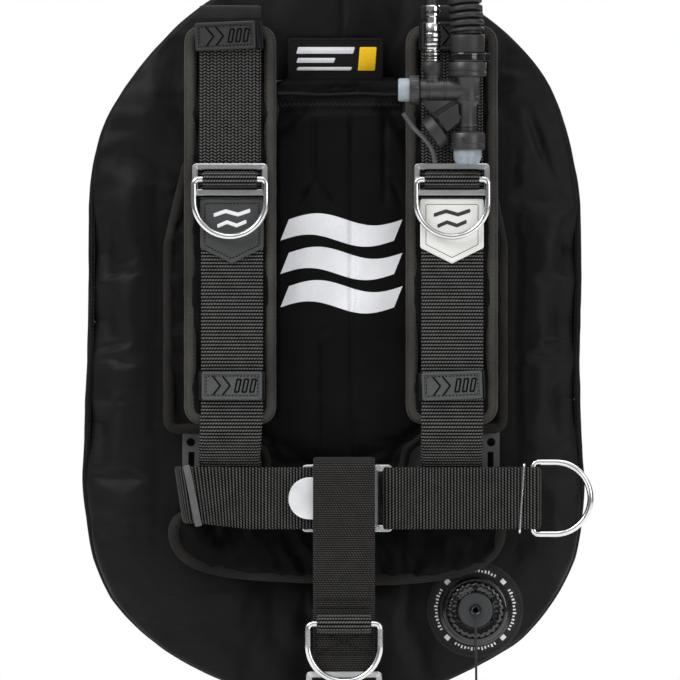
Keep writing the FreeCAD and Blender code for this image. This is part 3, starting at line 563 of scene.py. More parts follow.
def basis(direction):
    """Two directions square to the given one."""
    d = Vector(direction).normalized()
    side = Vector((0, 0, 1)) if abs(d.z) < 0.9 else Vector((1, 0, 0))
    u = d.cross(side).normalized()
    return d, u, d.cross(u)


def lathe(name, base, direction, profile, segments=48, shape=None):
    """A turned piece: profile is (radius, distance along) pairs in mm from the base point.
    shape(angle, along) may scale the radius, for ribs, flats or knurling."""
    d, u, w = basis(direction)
    base = Vector(base)
    points = []
    for radius, along in profile:
        for k in range(segments):
            a = math.tau * k / segments
            r = radius * (shape(a, along) if shape else 1.0)
            points.append((base + d * along + (u * math.cos(a) + w * math.sin(a)) * r) * MM)
    made = new_mesh(name, points, closed_faces(len(profile), segments))
    return smooth(tidy_normals(made), 38)


def tube(name, centre, radius, segments=10, closed=False, flat=1.0, upright=(0, -1, 0)):
    """A round or flattened tube along points in mm."""
    line = np.array(centre, dtype=float)
    if closed:
        along = np.roll(line, -1, axis=0) - np.roll(line, 1, axis=0)
    else:
        along = np.gradient(line, axis=0)
    along /= np.linalg.norm(along, axis=1)[:, None]
    up = np.array(upright, dtype=float)
    side = np.cross(along, up)
    side /= np.linalg.norm(side, axis=1)[:, None]
    lift = np.cross(side, along)
    radius = np.broadcast_to(np.asarray(radius, dtype=float), (len(line),))
    points = []
    for k in range(segments):
        a = math.tau * k / segments
        high = lift * (math.sin(a) * flat * radius)[:, None]
        points.append(line + side * (math.cos(a) * radius)[:, None] + high)
    points = np.array(points).transpose(1, 0, 2).reshape(-1, 3) * MM
    rows = len(line)
    faces = grid_faces(rows, segments, loop_rows=True) if closed else closed_faces(rows, segments)
    return smooth(tidy_normals(new_mesh(name, points, faces)), 60)


def stitches(name, line, pitch, length, radius, closed=False, normal=(0, -1, 0)):
    """A row of short raised stitches along a line in mm."""
    path = list(line) + ([line[0]] if closed else [])
    even, _ = resample(path, 0.4, rounds=0)
    reach = np.arange(len(even)) * (np.linalg.norm(even[1] - even[0]))
    up = Vector(normal)
    sides = 6
    rings = ((0.0, 0.35), (0.18, 1.0), (0.5, 1.15), (0.82, 1.0), (1.0, 0.35))
    one_stitch = closed_faces(len(rings), sides)
    points, faces = [], []
    s = pitch / 2
    while s < reach[-1] - pitch / 4:
        a = Vector([np.interp(s - length / 2, reach, even[:, i]) for i in range(3)])
        b = Vector([np.interp(s + length / 2, reach, even[:, i]) for i in range(3)])
        d = (b - a).normalized()
        side = d.cross(up).normalized()
        faces += [tuple(len(points) + corner for corner in face) for face in one_stitch]
        for t, share in rings:
            at = a.lerp(b, t)
            lift = -0.3 if t in (0.0, 1.0) else 0.0
            for k in range(sides):
                w = math.tau * k / sides
                high, wide = lift + math.sin(w) * radius * share, math.cos(w) * radius * share
                points.append((at + up * high + side * wide) * MM)
        s += pitch
    return smooth(tidy_normals(new_mesh(name, points, faces)))


def sewn(name, row, slot, pitch, length, radius, look="thread", closed=True, normal=(0, -1, 0)):
    """A row of stitches on the harness, with its finish."""
    made = stitches(name, row, pitch, length, radius, closed, normal)
    return finish_piece(made, "harness", look)


def woven(name, line, across, look, node, rib, step, thickness=WEBBING_THICKNESS, drift=None):
    """A length of harness webbing with its finish, which stands for a CAD node."""
    made = strap(name, line, across, WEBBING_WIDTH, thickness, rib, step, drift)
    return finish_piece(made, "harness", look, (node,))


# ---------------------------------------------------------------- soft shapes


def points_of(obj):
    """A mesh's points in mm, one row each."""
    flat = np.empty(len(obj.data.vertices) * 3, dtype=np.float32)
    obj.data.vertices.foreach_get("co", flat)
    return flat.reshape(-1, 3).astype(float) / MM


def set_points(obj, points):
    """Puts points in mm back into a mesh."""
    obj.data.vertices.foreach_set("co", (points * MM).astype(np.float32).ravel())
    obj.data.update()
    return obj


def bake_modifiers(obj):
    """Replaces the mesh by what its modifiers make of it."""
    graph = bpy.context.evaluated_depsgraph_get()
    made = bpy.data.meshes.new_from_object(obj.evaluated_get(graph))
    obj.modifiers.clear()
    obj.data = made
    made.name = obj.name
    return obj


def voxel(obj, size):
    """Remeshes a closed shape in even quads of about the given size in metres."""
    remesh = obj.modifiers.new("remesh", "REMESH")
    remesh.mode = "VOXEL"
    remesh.voxel_size = size
    return bake_modifiers(obj)


def puff(obj, pinned, cap, grow, pressure=4.0):
    """Swells a closed shape as filled cloth: pinned says which points (mm) the seams hold,
    grow is the spare cloth that wrinkles, and no point moves further than cap (mm)."""
    rest = points_of(obj)
    stiffness, frames = 12.0, 20
    group = obj.vertex_groups.new(name="seam")
    group.add([int(i) for i in np.nonzero(pinned(rest))[0]], 1.0, "REPLACE")
    cloth_sim = obj.modifiers.new("cloth", "CLOTH")
    settings = cloth_sim.settings
    settings.quality = 5
    settings.mass = 0.15
    settings.use_pressure = True
    settings.uniform_pressure_force = pressure
    settings.tension_stiffness = stiffness
    settings.compression_stiffness = stiffness
    settings.shear_stiffness = stiffness / 2
    settings.bending_stiffness = 0.06
    settings.air_damping = 3.0
    settings.shrink_min = -grow
    settings.vertex_group_mass = "seam"
    settings.effector_weights.gravity = 0.0
    cloth_sim.collision_settings.use_collision = False
    scene = bpy.context.scene
    for moment in range(1, frames + 1):
        scene.frame_set(moment)
    bake_modifiers(obj)
    scene.frame_set(1)
    moved = points_of(obj) - rest
    length = np.linalg.norm(moved, axis=1)
    moved *= (np.minimum(length, cap) / np.maximum(length, 1e-9))[:, None]
    set_points(obj, rest + moved)
    obj.modifiers.new("rounds", "SUBSURF").levels = 1
    bake_modifiers(obj)
    return smooth(obj)


def press(obj, depth):
    """Moves the points along Y by depth(points) in mm; a positive depth goes into the piece."""
    points = points_of(obj)
    centre = np.median(points[:, 1])
    points[:, 1] -= np.sign(points[:, 1] - centre) * depth(points)
    return set_points(obj, points)


def tree_of(obj):
    """A piece's surface, to lay other pieces on."""
    return BVHTree.FromObject(obj, bpy.context.evaluated_depsgraph_get())


def lay_on(obj, tree):
    """Drops a flat piece made at Y 0 onto a surface's front: its own Y is added to the surface's.
    A point that misses the surface takes the level of the one before it."""
    points = points_of(obj)
    level = None
    for i, (x, y, z) in enumerate(points):
        hit = tree.ray_cast(Vector((x * MM, -0.3, z * MM)), Vector((0, 1, 0)))[0]
        if hit:
            level = hit.y / MM
        if level is not None:
            points[i, 1] = level + y
    return set_points(obj, points)


def wavy(points, scale, seed):
    """Smooth seeded noise in -1..1 at each point (mm)."""
    return np.array([perlin.noise(Vector((x / scale + seed, y / scale, z / scale))) for x, y, z in points])


def oval(low, high, top_radius, bottom_radius):
    """A rounded rectangle in XZ with the same number of points whatever its size."""
    arc_steps, run_steps = 40, (12, 60)
    corners = (
        ((high[0] - top_radius, high[1] - top_radius), top_radius, 0),
        ((low[0] + top_radius, high[1] - top_radius), top_radius, 90),
        ((low[0] + bottom_radius, low[1] + bottom_radius), bottom_radius, 180),
        ((high[0] - bottom_radius, low[1] + bottom_radius), bottom_radius, 270),
    )
    turned = []
    for centre, radius, start in corners:
        turns = [math.radians(start + 90 * k / arc_steps) for k in range(arc_steps + 1)]
        turned.append([(centre[0] + radius * math.cos(a), centre[1] + radius * math.sin(a)) for a in turns])
    outline = []
    for n, corner in enumerate(turned):
        here, to, run = corner[-1], turned[(n + 1) % 4][0], run_steps[n % 2]
        outline += corner + [(here[0] + (to[0] - here[0]) * k / run, here[1] + (to[1] - here[1]) * k / run)
                             for k in range(1, run)]
    return np.array(outline)


# How far the wing's seam stands out of its rounded rectangle at each height (mm), left and right
# as seen from the front.
RIM_Z = (-303, -287, -271, -238, -205, -172, -139, -107, -74, -41, 25, 90, 123, 156, 189, 221, 262)
RIM_LEFT = (0, 4.1, 6.6, 9.8, 6.6, 2.0, 1.6, 0, -0.8, -2.5, -3.7, -4.0, -3.3, -2.6, -5.7, -6.5, -3.0)
RIM_RIGHT = (0, 4.9, 9.2, 7.6, 6.6, 2.0, 0, -2.5, -3.3, -4.1, -2.5, -3.3, -4.6, -2.5, 1.2, 0.8, 0)


def fit_rim(x, z):
    """Moves the wing's sides out or in by the small amounts that RIM_LEFT and RIM_RIGHT give."""
    mid, inner, blend = (WING_LOW[0] + WING_HIGH[0]) / 2, 65, 85
    share = np.clip((np.abs(x - mid) - inner) / blend, 0, 1)
    share = share * share * (3 - 2 * share)
    move = np.where(x < mid, -np.interp(z, RIM_Z, RIM_LEFT), np.interp(z, RIM_Z, RIM_RIGHT))
    return x + move * share


def wing_line(inset):
    """The wing's outer seam line, moved in by inset."""
    low = (WING_LOW[0] + inset, WING_LOW[1] + inset)
    high = (WING_HIGH[0] - inset, WING_HIGH[1] - inset)
    outline = oval(low, high, 200 - inset, 186 - inset)
    outline[:, 0] = fit_rim(outline[:, 0], outline[:, 1])
    return outline


def wing_shell():
    """The wing's closed cloth between its inner opening and its outer seam, part filled."""
    outer, inner = wing_line(0.5), oval((-52, -205), (52, 181), 30, 30)
    count, across = len(outer), 22
    rows = []
    for side, steps in ((-1, range(across + 1)), (1, range(across - 1, 0, -1))):
        for k in steps:
            t = k / across
            half = WING_HALF * (1 - abs(2 * t - 1) ** 3.2) ** (1 / 2.2)
            line = inner * (1 - t) + outer * t
            rows.append(np.column_stack([line[:, 0], np.full(count, WING_MID + side * half), line[:, 1]]))
    points = np.vstack(rows)
    wing = tidy_normals(new_mesh("wing_cloth", points * MM, grid_faces(len(rows), count, loop_rows=True)))
    seam = np.zeros(len(points), dtype=bool)
    seam[:count] = True
    seam[across * count:(across + 1) * count] = True
    return puff(wing, lambda rest: seam, 15.0, 0.055, pressure=5.0)


def fold_wing(wing):
    """Soft folds and a few creases, kept clear of the pad, the hip ring and the cylinder."""
    points = points_of(wing)
    x, y, z = points.T
    front = y < WING_MID
    height = np.clip(np.abs(y - WING_MID) / WING_HALF, 0, 1)
    turned = np.column_stack([x * 0.8 + z * 0.6, y, (z * 0.8 - x * 0.6) * 0.4])
    soft = wavy(points, 60.0, 3.1) * 3.2 + wavy(points * (1, 1, 0.4), 26.0, 9.7) * 2.0
    soft += wavy(turned, 17.0, 5.2) * 1.5
    y = y + np.where(front, -1, 1) * soft * height
    crease = np.exp(-(((x - 167) + (z - 130) * 0.35) / 3.2) ** 2) * np.clip(1 - np.abs(z - 138) / 34, 0, 1)
    crease = crease * 6.0 + 3.0 * np.exp(-((z + 26) / 2.2) ** 2) * np.clip((x - 160) / 14, 0, 1)
    crease += 2.2 * np.exp(-((z - 8 - 0.2 * x) / 2.6) ** 2) * np.clip((-168 - x) / 14, 0, 1)
    y = y + np.where(front, crease * height, 0.0)
    near_pad = (np.abs(x + 4) < 152) & (z < 186) & (z > -232)
    near_rim = np.clip((np.abs(x + 5.5) - 150) / 55, 0, 1)
    limit = np.where(near_pad, -12.5, -13.5 - 8.0 * near_rim)
    ring_room = np.exp(-((x - 170) / 30) ** 4 - ((z - BELT_Z) / 42) ** 4)
    limit = limit + ring_room * (-11.0 - limit)
    points[:, 1] = np.where(front, np.maximum(y, limit), np.minimum(y, 31.0))
    return set_points(wing, points)


def make_bladder(wing):
    """The film bladder inside the wing: the wing's own shape, drawn in all over."""
    inside = wing.copy()
    inside.data = wing.data.copy()
    inside.name = inside.data.name = "bladder_film"
    bpy.context.scene.collection.objects.link(inside)
    normals = np.array([v.normal[:] for v in inside.data.vertices])
    points = points_of(inside) - normals * (2.4, 0.6, 2.4)
    points[:, 1] = WING_MID + (points[:, 1] - WING_MID) * 0.78
    set_points(inside, points)
    finish_piece(inside, "harness", "film", ("wing_bladder",))


def seam_path(outline, step):
    """A closed seam in the wing's middle plane, in even steps."""
    line = np.column_stack([outline[:, 0], np.full(len(outline), WING_MID), outline[:, 1]])
    return resample(np.vstack([line, line[:1]]), step, rounds=0)[0][:-1]


def make_wing_edges():
    """The tapes bound over both rims, and the stitch rows on each side of the outer one."""
    path = seam_path(wing_line(1.0), 2.0)
    ripple = 1 + 0.10 * wavy(path, 14.0, 2.2)
    edge = tube("wing_edge_tape", path, 2.9 * ripple, segments=12, closed=True, flat=1.75)
    finish_piece(edge, "harness", "wing_binding", ("wing_binding",))
    centre, tape_half = np.array([-5.5, 0, -19.5]), 5.2
    for name, out in (("front", -1), ("rear", 1)):
        row = path + (0, out * tape_half, 0)
        inward = (centre - row) * (1, 0, 1)
        row += inward / np.linalg.norm(inward, axis=1)[:, None] * 2.0
        sewn(f"wing_edge_stitches_{name}", row, "binding", 3.4, 2.4, 0.32, normal=(0, out, 0))
    path = seam_path(oval((-50.5, -203.5), (50.5, 183), 28.5, 28.5), 3.0)
    edge = tube("wing_inner_tape", path, 2.4, segments=10, closed=True, flat=1.5)
    finish_piece(edge, "harness", "wing_binding")


def make_wing():
    """The part-filled wing: two cloth panels sewn at both rims, its bladder and its edge tapes."""
    wing = fold_wing(wing_shell())
    finish_piece(wing, "harness", "wing", ("wing_front_panel", "wing_rear_panel"))
    make_bladder(wing)
    make_wing_edges()
    return wing


def make_center_panel():
    """The flat cloth panel across the wing's opening, with its two bolt grommets."""
    rows, columns = 110, 34
    left, foot, width, height, face = -50.2, -165.4, 100.4, 322.8, 2.0
    points = []
    for i in range(rows + 1):
        for k in range(columns + 1):
            x, z = left + width * k / columns, foot + height * i / rows
            sag = 0.8 * perlin.noise(Vector((x / 30, 0.4, z / 46)))
            points.append((x * MM, (face + sag * 0.7) * MM, z * MM))
    panel = new_mesh("center_panel_cloth", points, grid_faces(rows + 1, columns + 1, loop_columns=False))
    thick = panel.modifiers.new("thick", "SOLIDIFY")
    thick.thickness = 0.0012
    thick.offset = 0
    bake_modifiers(panel)
    smooth(panel, 50)
    finish_piece(panel, "harness", "wing", ("wing_center_panel",))
    rolled = [(5.7, -1.0), (5.6, 0.6), (6.2, 1.3), (8.6, 1.2), (9.6, 0.5), (9.5, -0.4), (7.0, -0.9)]
    for label, z in (("lower", -BOLT_Z), ("upper", BOLT_Z)):
        ring = lathe(f"grommet_{label}", (0, face, z), (0, 1, 0), rolled, 40)
        finish_piece(ring, "harness", "steel_flat")


def inside_outline(outline, points):
    """Which points lie inside an outline in XZ."""
    x, z = points[:, 0], points[:, 2]
    inside = np.zeros(len(points), dtype=bool)
    for (xi, zi), (xj, zj) in zip(outline, outline[-1:] + outline[:-1]):
        inside ^= ((zi > z) != (zj > z)) & (x < (xj - xi) * (z - zi) / (zj - zi + 1e-12) + xi)
    return inside


def pad_sheet(name, corners, radius, depth, cap, grow, rim=6.0):
    """A sewn pad: a slab that thins over its rim, remeshed and swelled as cloth inside its seam."""
    half, cell = depth / 2, 4.0
    rise = [(0.0, 0.0), (0.6, 0.28 * half), (rim / 2, 0.704 * half), (rim, 0.8 * half)]
    levels = [(inset, -height) for inset, height in reversed(rise)] + rise[1:]
    pad = voxel(relief(name, corners, radius, levels, (0, 0, 0)), cell * MM)
    seam = rounded(corners, radius, 1.2 * cell)
    return puff(pad, lambda points: ~inside_outline(seam, points), cap, grow)


def ring_path(corners, radius, inset, y, step=2.0):
    """A closed line round a rounded outline, in even steps at one depth."""
    outline = rounded(corners, radius, inset, steps=8)
    line = np.array([(x, y, z) for x, z in outline + outline[:1]])
    return resample(line, step, rounds=0)[0][:-1]


BACK_PAD = [(57, 192), (61, 150), (114, 148), (124, 118), (137, 55), (137, -101), (74, -103), (57, -117),
            (53, -139), (-63, -139), (-67, -118), (-82, -103), (-146, -101), (-146, 55), (-131, 118),
            (-118, 148), (-61, 150), (-57, 192)]
LUMBAR_EDGE = [(-126, -166), (-137, -167), (-144, -183), (-138, -202), (-120, -215), (-84, -222), (-26, -225),
               (28, -227), (68, -225), (104, -219), (127, -207), (136, -190), (136, -175), (127, -166)]


def groove(points, line_x, width, depth, low, high, lean=0.0):
    """The depth of one sewn channel that runs up the pad at line_x between two heights."""
    x, _, z = points.T
    away = (x - line_x - lean * (z - (low + high) / 2)) / width
    fade = np.clip((z - low) / 12, 0, 1) * np.clip((high - z) / 12, 0, 1)
    return depth * np.exp(-away ** 2) * fade


def below(path, height):
    """The open run of a closed path that stays below a height."""
    high = path[:, 2] > height
    start = int(np.argmax(high & ~np.roll(high, -1))) + 1
    path, high = np.roll(path, -start, axis=0), np.roll(high, -start)
    return path[~high]


def quilt(points):
    """How deep the back pad's channels, its hem seam and the soft waves between them go."""
    x, _, z = points.T
    depth = np.zeros(len(points))
    for line_x, low, high, lean, deep in (
            (-23, 106, 164, 0.0, 3.8), (9, -150, 164, 0.0, 3.2), (36, 84, 164, 0.0, 2.0),
            (-30, 84, 110, 0.62, 4.2), (-12, 80, 110, -0.6, 3.6), (46, 84, 110, -0.5, 2.8),
            (-54, -90, 150, 0.0, 2.0), (-19, -150, -22, 0.0, 2.8), (-14, -28, -6, 0.7, 2.8)):
        depth += groove(points, line_x, 2.1, deep, low, high, lean)
    depth += 2.2 * np.exp(-((z - HEM_SEAM_Z) / 2.2) ** 2) + 2.8 * np.clip((z - HEM_FOLD_Z) / 3.0, 0, 1)
    depth -= wavy(points, 26.0, 7.3) * 0.9 + wavy(points * (1, 1, 0.4), 11.0, 1.3) * 0.6
    return depth * np.clip((138 - np.abs(x + 4)) / 10, 0, 1) * np.clip((192 - z) / 3, 0, 1)


def make_back_pad():
    """The quilted back pad: bound edge below its hem, and the hem's fold and zigzag row on top."""
    pad = pad_sheet("back_pad_cloth", BACK_PAD, 12.0, PAD_DEPTH, 6.0, 0.05)
    set_points(pad, points_of(pad) + (0, PAD_MID, 0))
    press(pad, quilt)
    finish_piece(pad, "harness", "pad", ("back_pad",))
    path = below(ring_path(BACK_PAD, 12.0, 4.3, PAD_MID), 176.0)
    edge = tube("back_pad_binding", path, 4.8 * (1 + 0.06 * wavy(path, 16, 4.4)), 16, flat=1.3)
    finish_piece(edge, "harness", "pad_binding")
    row = below(ring_path(BACK_PAD, 12.0, 8.0, PAD_MID - 4.3), 164.0)
    sewn("back_pad_stitches", row, "pad_fabric", 3.3, 2.3, 0.36, closed=False)
    tree = tree_of(pad)
    roll = [(x, -0.5, HEM_FOLD_Z + 0.2 + 0.5 * math.sin(x * 0.11)) for x in range(-52, 54, 2)]
    fold = lay_on(tube("back_pad_hem_fold", roll, 1.15, 10), tree)
    finish_piece(fold, "harness", "pad_binding")
    zigzag = [(-50 + 1.9 * i, -0.3, 171.0 - (3.6 if i % 2 else 0.0)) for i in range(53)]
    lay_on(sewn("back_pad_hem_zigzag", zigzag, "pad_fabric", 4.06, 3.6, 0.42, closed=False), tree)
    return pad


def lumbar_wrinkles(points):
    """Slanting folds across the lumbar pad, fading out at its lower edge."""
    x, _, z = points.T
    folds = wavy(np.column_stack([x + 0.5 * z, z * 0, z * 0.25]), 10.0, 8.1) * 3.8
    return (wavy(points, 19.0, 2.9) * 2.0 + folds) * np.clip((z + 221 - np.abs(x) * 0.06) / 5, 0, 1)


def make_lumbar_pad():
    """The lumbar pad below the belt, with its bound edge."""
    outline = resample(LUMBAR_EDGE, 7.0, rounds=2)[0].tolist()
    pad = pad_sheet("lumbar_pad_cloth", outline, 1.0, PAD_DEPTH, 5.0, 0.07)
    set_points(pad, points_of(pad) + (0, PAD_MID, 0))
    press(pad, lumbar_wrinkles)
    finish_piece(pad, "harness", "pad", ("lumbar_pad",))
    path = ring_path(outline, 1.0, 4.6, PAD_MID)
    edge = tube("lumbar_pad_binding", path, 5.0 * (1 + 0.04 * wavy(path, 15, 6.4)), 16, closed=True, flat=1.2)
    finish_piece(edge, "harness", "pad_binding")
    sewn("lumbar_pad_stitches", ring_path(outline, 1.0, 8.2, PAD_MID - 4.4), "pad_fabric", 3.3, 2.3, 0.36)


def bent(obj, line, x):
    """Bends a piece made flat (Z down its length, Y its depth) along a line in YZ at X."""
    centre, reach = resample(line, 1.0)
    along = np.gradient(centre, axis=0)
    along /= np.linalg.norm(along, axis=1)[:, None]
    normal = np.column_stack([along[:, 1], -along[:, 0]])
    points = points_of(obj)
    s = -points[:, 2]
    at = np.clip(s, 0, reach[-1])
    y, z = (np.interp(at, reach, centre[:, i]) for i in (0, 1))
    ny, nz = (np.interp(at, reach, normal[:, i]) for i in (0, 1))
    ty, tz = (np.interp(at, reach, along[:, i]) for i in (0, 1))
    depth, past = points[:, 1], s - at
    out = np.column_stack([points[:, 0] + x, y - ny * depth + ty * past, z - nz * depth + tz * past])
    return set_points(obj, out)


def make_shoulder_pad(side, sign):
    """One shoulder pad: a spacer pad with rolled, bound edges and a stitch row inside them."""
    name, x = f"shoulder_pad_{side}", sign * STRAP_X
    behind = (WEBBING_THICKNESS + 9.0) / 2 + 1.85
    top, front = STRAP_TOP_Y + behind, STRAP_Y + behind
    line = [(top, 234), (top, 189.3), (top, 186), (front, 126), (front, -95)]
    half, length, corner, step = 37.75, 328.5, 16.0, 1.6
    corners = [(-half, 0), (half, 0), (half, -length), (-half, -length)]
    pad = pad_sheet(f"{name}_cloth", corners, corner, 7.0, 3.0, 0.04, 5.0)
    points = points_of(pad)
    points[:, 1] += np.clip(wavy(points, 22.0, 3.3 + sign) * 0.5, -0.7, 0.7)
    under_strap = -4.2 - 3.0 * np.clip((np.abs(points[:, 0]) - 28.5) / 4, 0, 1)
    points[:, 1] = np.maximum(points[:, 1], under_strap)
    bent(set_points(pad, points), line, x)
    finish_piece(pad, "harness", "pad", (name,))
    path = ring_path(corners, corner, 5.1, 0.0, step)
    radius = 5.2 * (1 + 0.05 * wavy(path, 12, 1.4 + sign))
    edge = bent(tube(f"{name}_binding", path, radius, 18, closed=True, flat=0.94), line, x)
    finish_piece(edge, "harness", "binding")
    for label, inset, y, thick in (("stitches", 8.0, -4.25, 0.36), ("edge_stitches", 1.6, -3.6, 0.3)):
        row = ring_path(corners, corner, inset, y, step)
        bent(sewn(f"{name}_{label}", row, "binding", 3.0, 2.1, thick), line, x)


# ---------------------------------------------------------------- harness


def shoulder_line():
    """The shoulder strap's middle line in YZ: out of the upper slot, over the top, down the chest and
    back through the side slot."""
    line = [(-14.6, 142), (-14.6, 156.5), (-17, 159.8), (-24, 160.4), (-33, 166), (-38, 182), (-40, 228)]
    line += [(-42, 243), (-49, 250), (-58, 249)]
    line += [(STRAP_TOP_Y, z) for z in (241, 237.5, 189.3, 186)]
    line += [(STRAP_Y, z) for z in (126, -92, -97)]
    line += [(-71, -110), (-57, -128.5), (-34, -147), (-24, -149.8), (-17, -150.2), (-14.6, -153.5)]
    return line + [(-14.6, -168)]


def ring_loop(name, bar, face_y, x, drop, node):
    """The short webbing loop that holds a ring's bar, sewn to the strap's face above and below it."""
    y, z = bar
    line = [(face_y, z + drop)] + arc((y, z), 5.2, 60, 301, 20) + [(face_y, z - drop - 1)]
    points = [(x, p, q) for p, q in line]
    made = strap(name, points, (1, 0, 0), WEBBING_WIDTH - 6, 2.4, (2.2, 0.3), 0.4)
    finish_piece(made, "harness", "webbing", (node,))


def turn_flat(objects, centre, degrees):
    """Tilts front-facing pieces about the Y axis through a point in mm."""
    place = Matrix.Translation(Vector(centre) * MM)
    spin = place @ Matrix.Rotation(math.radians(degrees), 4, "Y") @ place.inverted()
    for obj in objects:
        obj.data.transform(spin)


def engraved(name, line, closed=False):
    """A thin dark line cut into a moulding, along points in mm."""
    even, _ = resample(list(line) + ([line[0]] if closed else []), 0.9, rounds=0)
    return tube(name, even[:-1] if closed else even, 0.72, 6, closed=closed, flat=0.65)


def make_badge(level, side, x, y_front, z, tilt, body):
    """A moulded rubber badge: raised rim, and a dashed line, two arrows and three bars cut into it."""
    name = f"{level}_badge_{side}"
    corners = [(-24.8, -11.5), (24.8, -11.5), (24.8, 11.5), (-24.8, 11.5)]
    origin = (x, y_front, z)
    plate = relief(name + "_moulding", corners, 2.2,
                   [(0.5, 0), (0, 0.6), (0, 2.5), (0.5, 3.1), (1.5, 3.2), (2.1, 3.0), (2.7, 1.9)], origin)
    # The upper badges take the darker copy of the rubber: painted shade.
    finish_piece(plate, body, "badge_upper_shaded" if level == "upper" else "badge", (name,))
    y = y_front - 1.95
    row = [(x + px, y, z + pz) for px, pz in rounded(corners, 2.2, 3.7)]
    cuts = [stitches(name + "_dashes", row, 2.5, 1.6, 0.34, closed=True)]
    for n in range(2):
        tip = x - 9.5 + 8.0 * n
        arrow = [(tip - 6.0, y, z + 7.6), (tip, y, z), (tip - 6.0, y, z - 7.6)]
        cuts.append(engraved(f"{name}_arrow_{n}", arrow))
    for n in range(3):
        left = 2.2 + 6.2 * n
        bar = [(left, -5.2), (left + 3.2, -5.2), (left + 5.4, 5.2), (left + 2.2, 5.2)]
        cuts.append(engraved(f"{name}_bar_{n}", [(x + px, y, z + pz) for px, pz in bar], closed=True))
    cuts = joined(name + "_lines", cuts)
    finish_piece(cuts, body, "badge_dark")
    turn_flat([plate, cuts], origin, tilt)


def make_keeper(level, side, x, y, z, tilt):
    """An elastic band round the webbing, woven with fine ribs, and its badge."""
    body = f"{level}_keeper_{side}"
    half_w, half_t = WEBBING_WIDTH / 2 + 0.95, WEBBING_THICKNESS / 2 + 0.95
    outline = rounded([(-half_w, -half_t), (half_w, -half_t), (half_w, half_t), (-half_w, half_t)], 1.1)
    band_line = [(px + x, py + y, z) for px, py in outline + outline[:1]]
    path, reach = resample(band_line, 0.5, rounds=0)
    path, reach = path[:-1], reach[:-1]
    along = np.roll(path, -1, axis=0) - np.roll(path, 1, axis=0)
    along /= np.linalg.norm(along, axis=1)[:, None]
    out = np.cross(along, (0, 0, 1.0))
    rib = 0.12 * np.sin(math.tau * reach / 1.25)
    section = []
    for u, depth in ((-11.3, 0.0), (-11.5, 0.3), (-11.2, 0.55), (-10.4, 0.6), (10.4, 0.6), (11.2, 0.55),
                     (11.5, 0.3), (11.3, 0.0), (11.2, -0.5), (-11.2, -0.5)):
        lift = depth + (rib if depth > 0.5 else 0)
        section.append(path + out * np.broadcast_to(lift, reach.shape)[:, None] + np.array([0, 0, u]))
    points = np.array(section).transpose(1, 0, 2).reshape(-1, 3) * MM
    uvs = np.array([[(u, s) for u in range(len(section))] for s in reach]).reshape(-1, 2) * MM
    faces = grid_faces(len(path), len(section), loop_rows=True)
    band = smooth(tidy_normals(new_mesh(body + "_elastic", points, faces, uvs)), 50)
    finish_piece(band, body, "elastic", (body,))
    turn_flat([band], (x, y, z), tilt)
    badge_shift = -4.0 if body == "upper_keeper_right" else 0.0
    make_badge(level, side, x + badge_shift, y - half_t - 0.8, z, tilt, body)


def frame_ring(name, corners, radius, width, thickness, origin):
    """A flat steel ring of even width with eased edges, its rear face at origin's Y."""
    w, t, b = width, thickness, 0.55
    section = [(b, 0), (0, b), (0, t - b), (b, t), (w - b, t), (w, t - b), (w, b), (w - b, 0)]
    rings = [[(origin[0] + x, origin[1] - h, origin[2] + z) for x, z in rounded(corners, radius, inset, 6)]
             for inset, h in section]
    points = np.array([point for ring in rings for point in ring]) * MM
    made = new_mesh(name, points, grid_faces(len(rings), len(rings[0]), loop_rows=True))
    return smooth(tidy_normals(made), 40)


def rectangle(width, height):
    """The corners of a rectangle round the origin."""
    w, h = width / 2, height / 2
    return [(-w, -h), (w, -h), (w, h), (-w, h)]


def make_slider(name, node, origin):
    """A flat steel slide that the webbing is threaded through."""
    made = frame_ring(name, rectangle(62, 26), 4.2, 4.9, 2.4, origin)
    finish_piece(made, "harness", "steel_flat", (node,))


def d_ring(name, node, bar, bar_axis, drop_axis, body):
    """A welded D-ring of round wire with its weld bead on the bar."""
    half, leg, bend, wire, bead = 29.5, 17.5, 4.0, 2.5, 0.25
    turns = np.linspace(0, math.pi / 2, 7)
    right = [(half - bend * (1 - math.sin(a)), bend * (1 - math.cos(a))) for a in turns] + [(half, leg * 0.6)]
    bow = [(half * math.cos(a), leg + half * math.sin(a)) for a in np.linspace(0, math.pi, 49)]
    left = [(-x, y) for x, y in reversed(right)]
    flat = [(-half + bend * 2, 0), (0.0, 0.0), (half - bend * 2, 0)] + right + bow + left
    u, v = np.array(bar_axis, float), np.array(drop_axis, float)
    line = np.array([np.array(bar, float) + u * x + v * y for x, y in flat])
    path = resample(np.vstack([line, line[:1]]), 1.2, rounds=0)[0][:-1]
    from_weld = path - line[1]
    on_bar = np.abs(from_weld @ v) < 1
    radius = wire + bead * np.exp(-(from_weld @ u / 2.2) ** 2) * on_bar
    made = tube(name, path, radius, 20, closed=True, upright=tuple(np.cross(u, v)))
    return finish_piece(made, body, "steel", (node,))


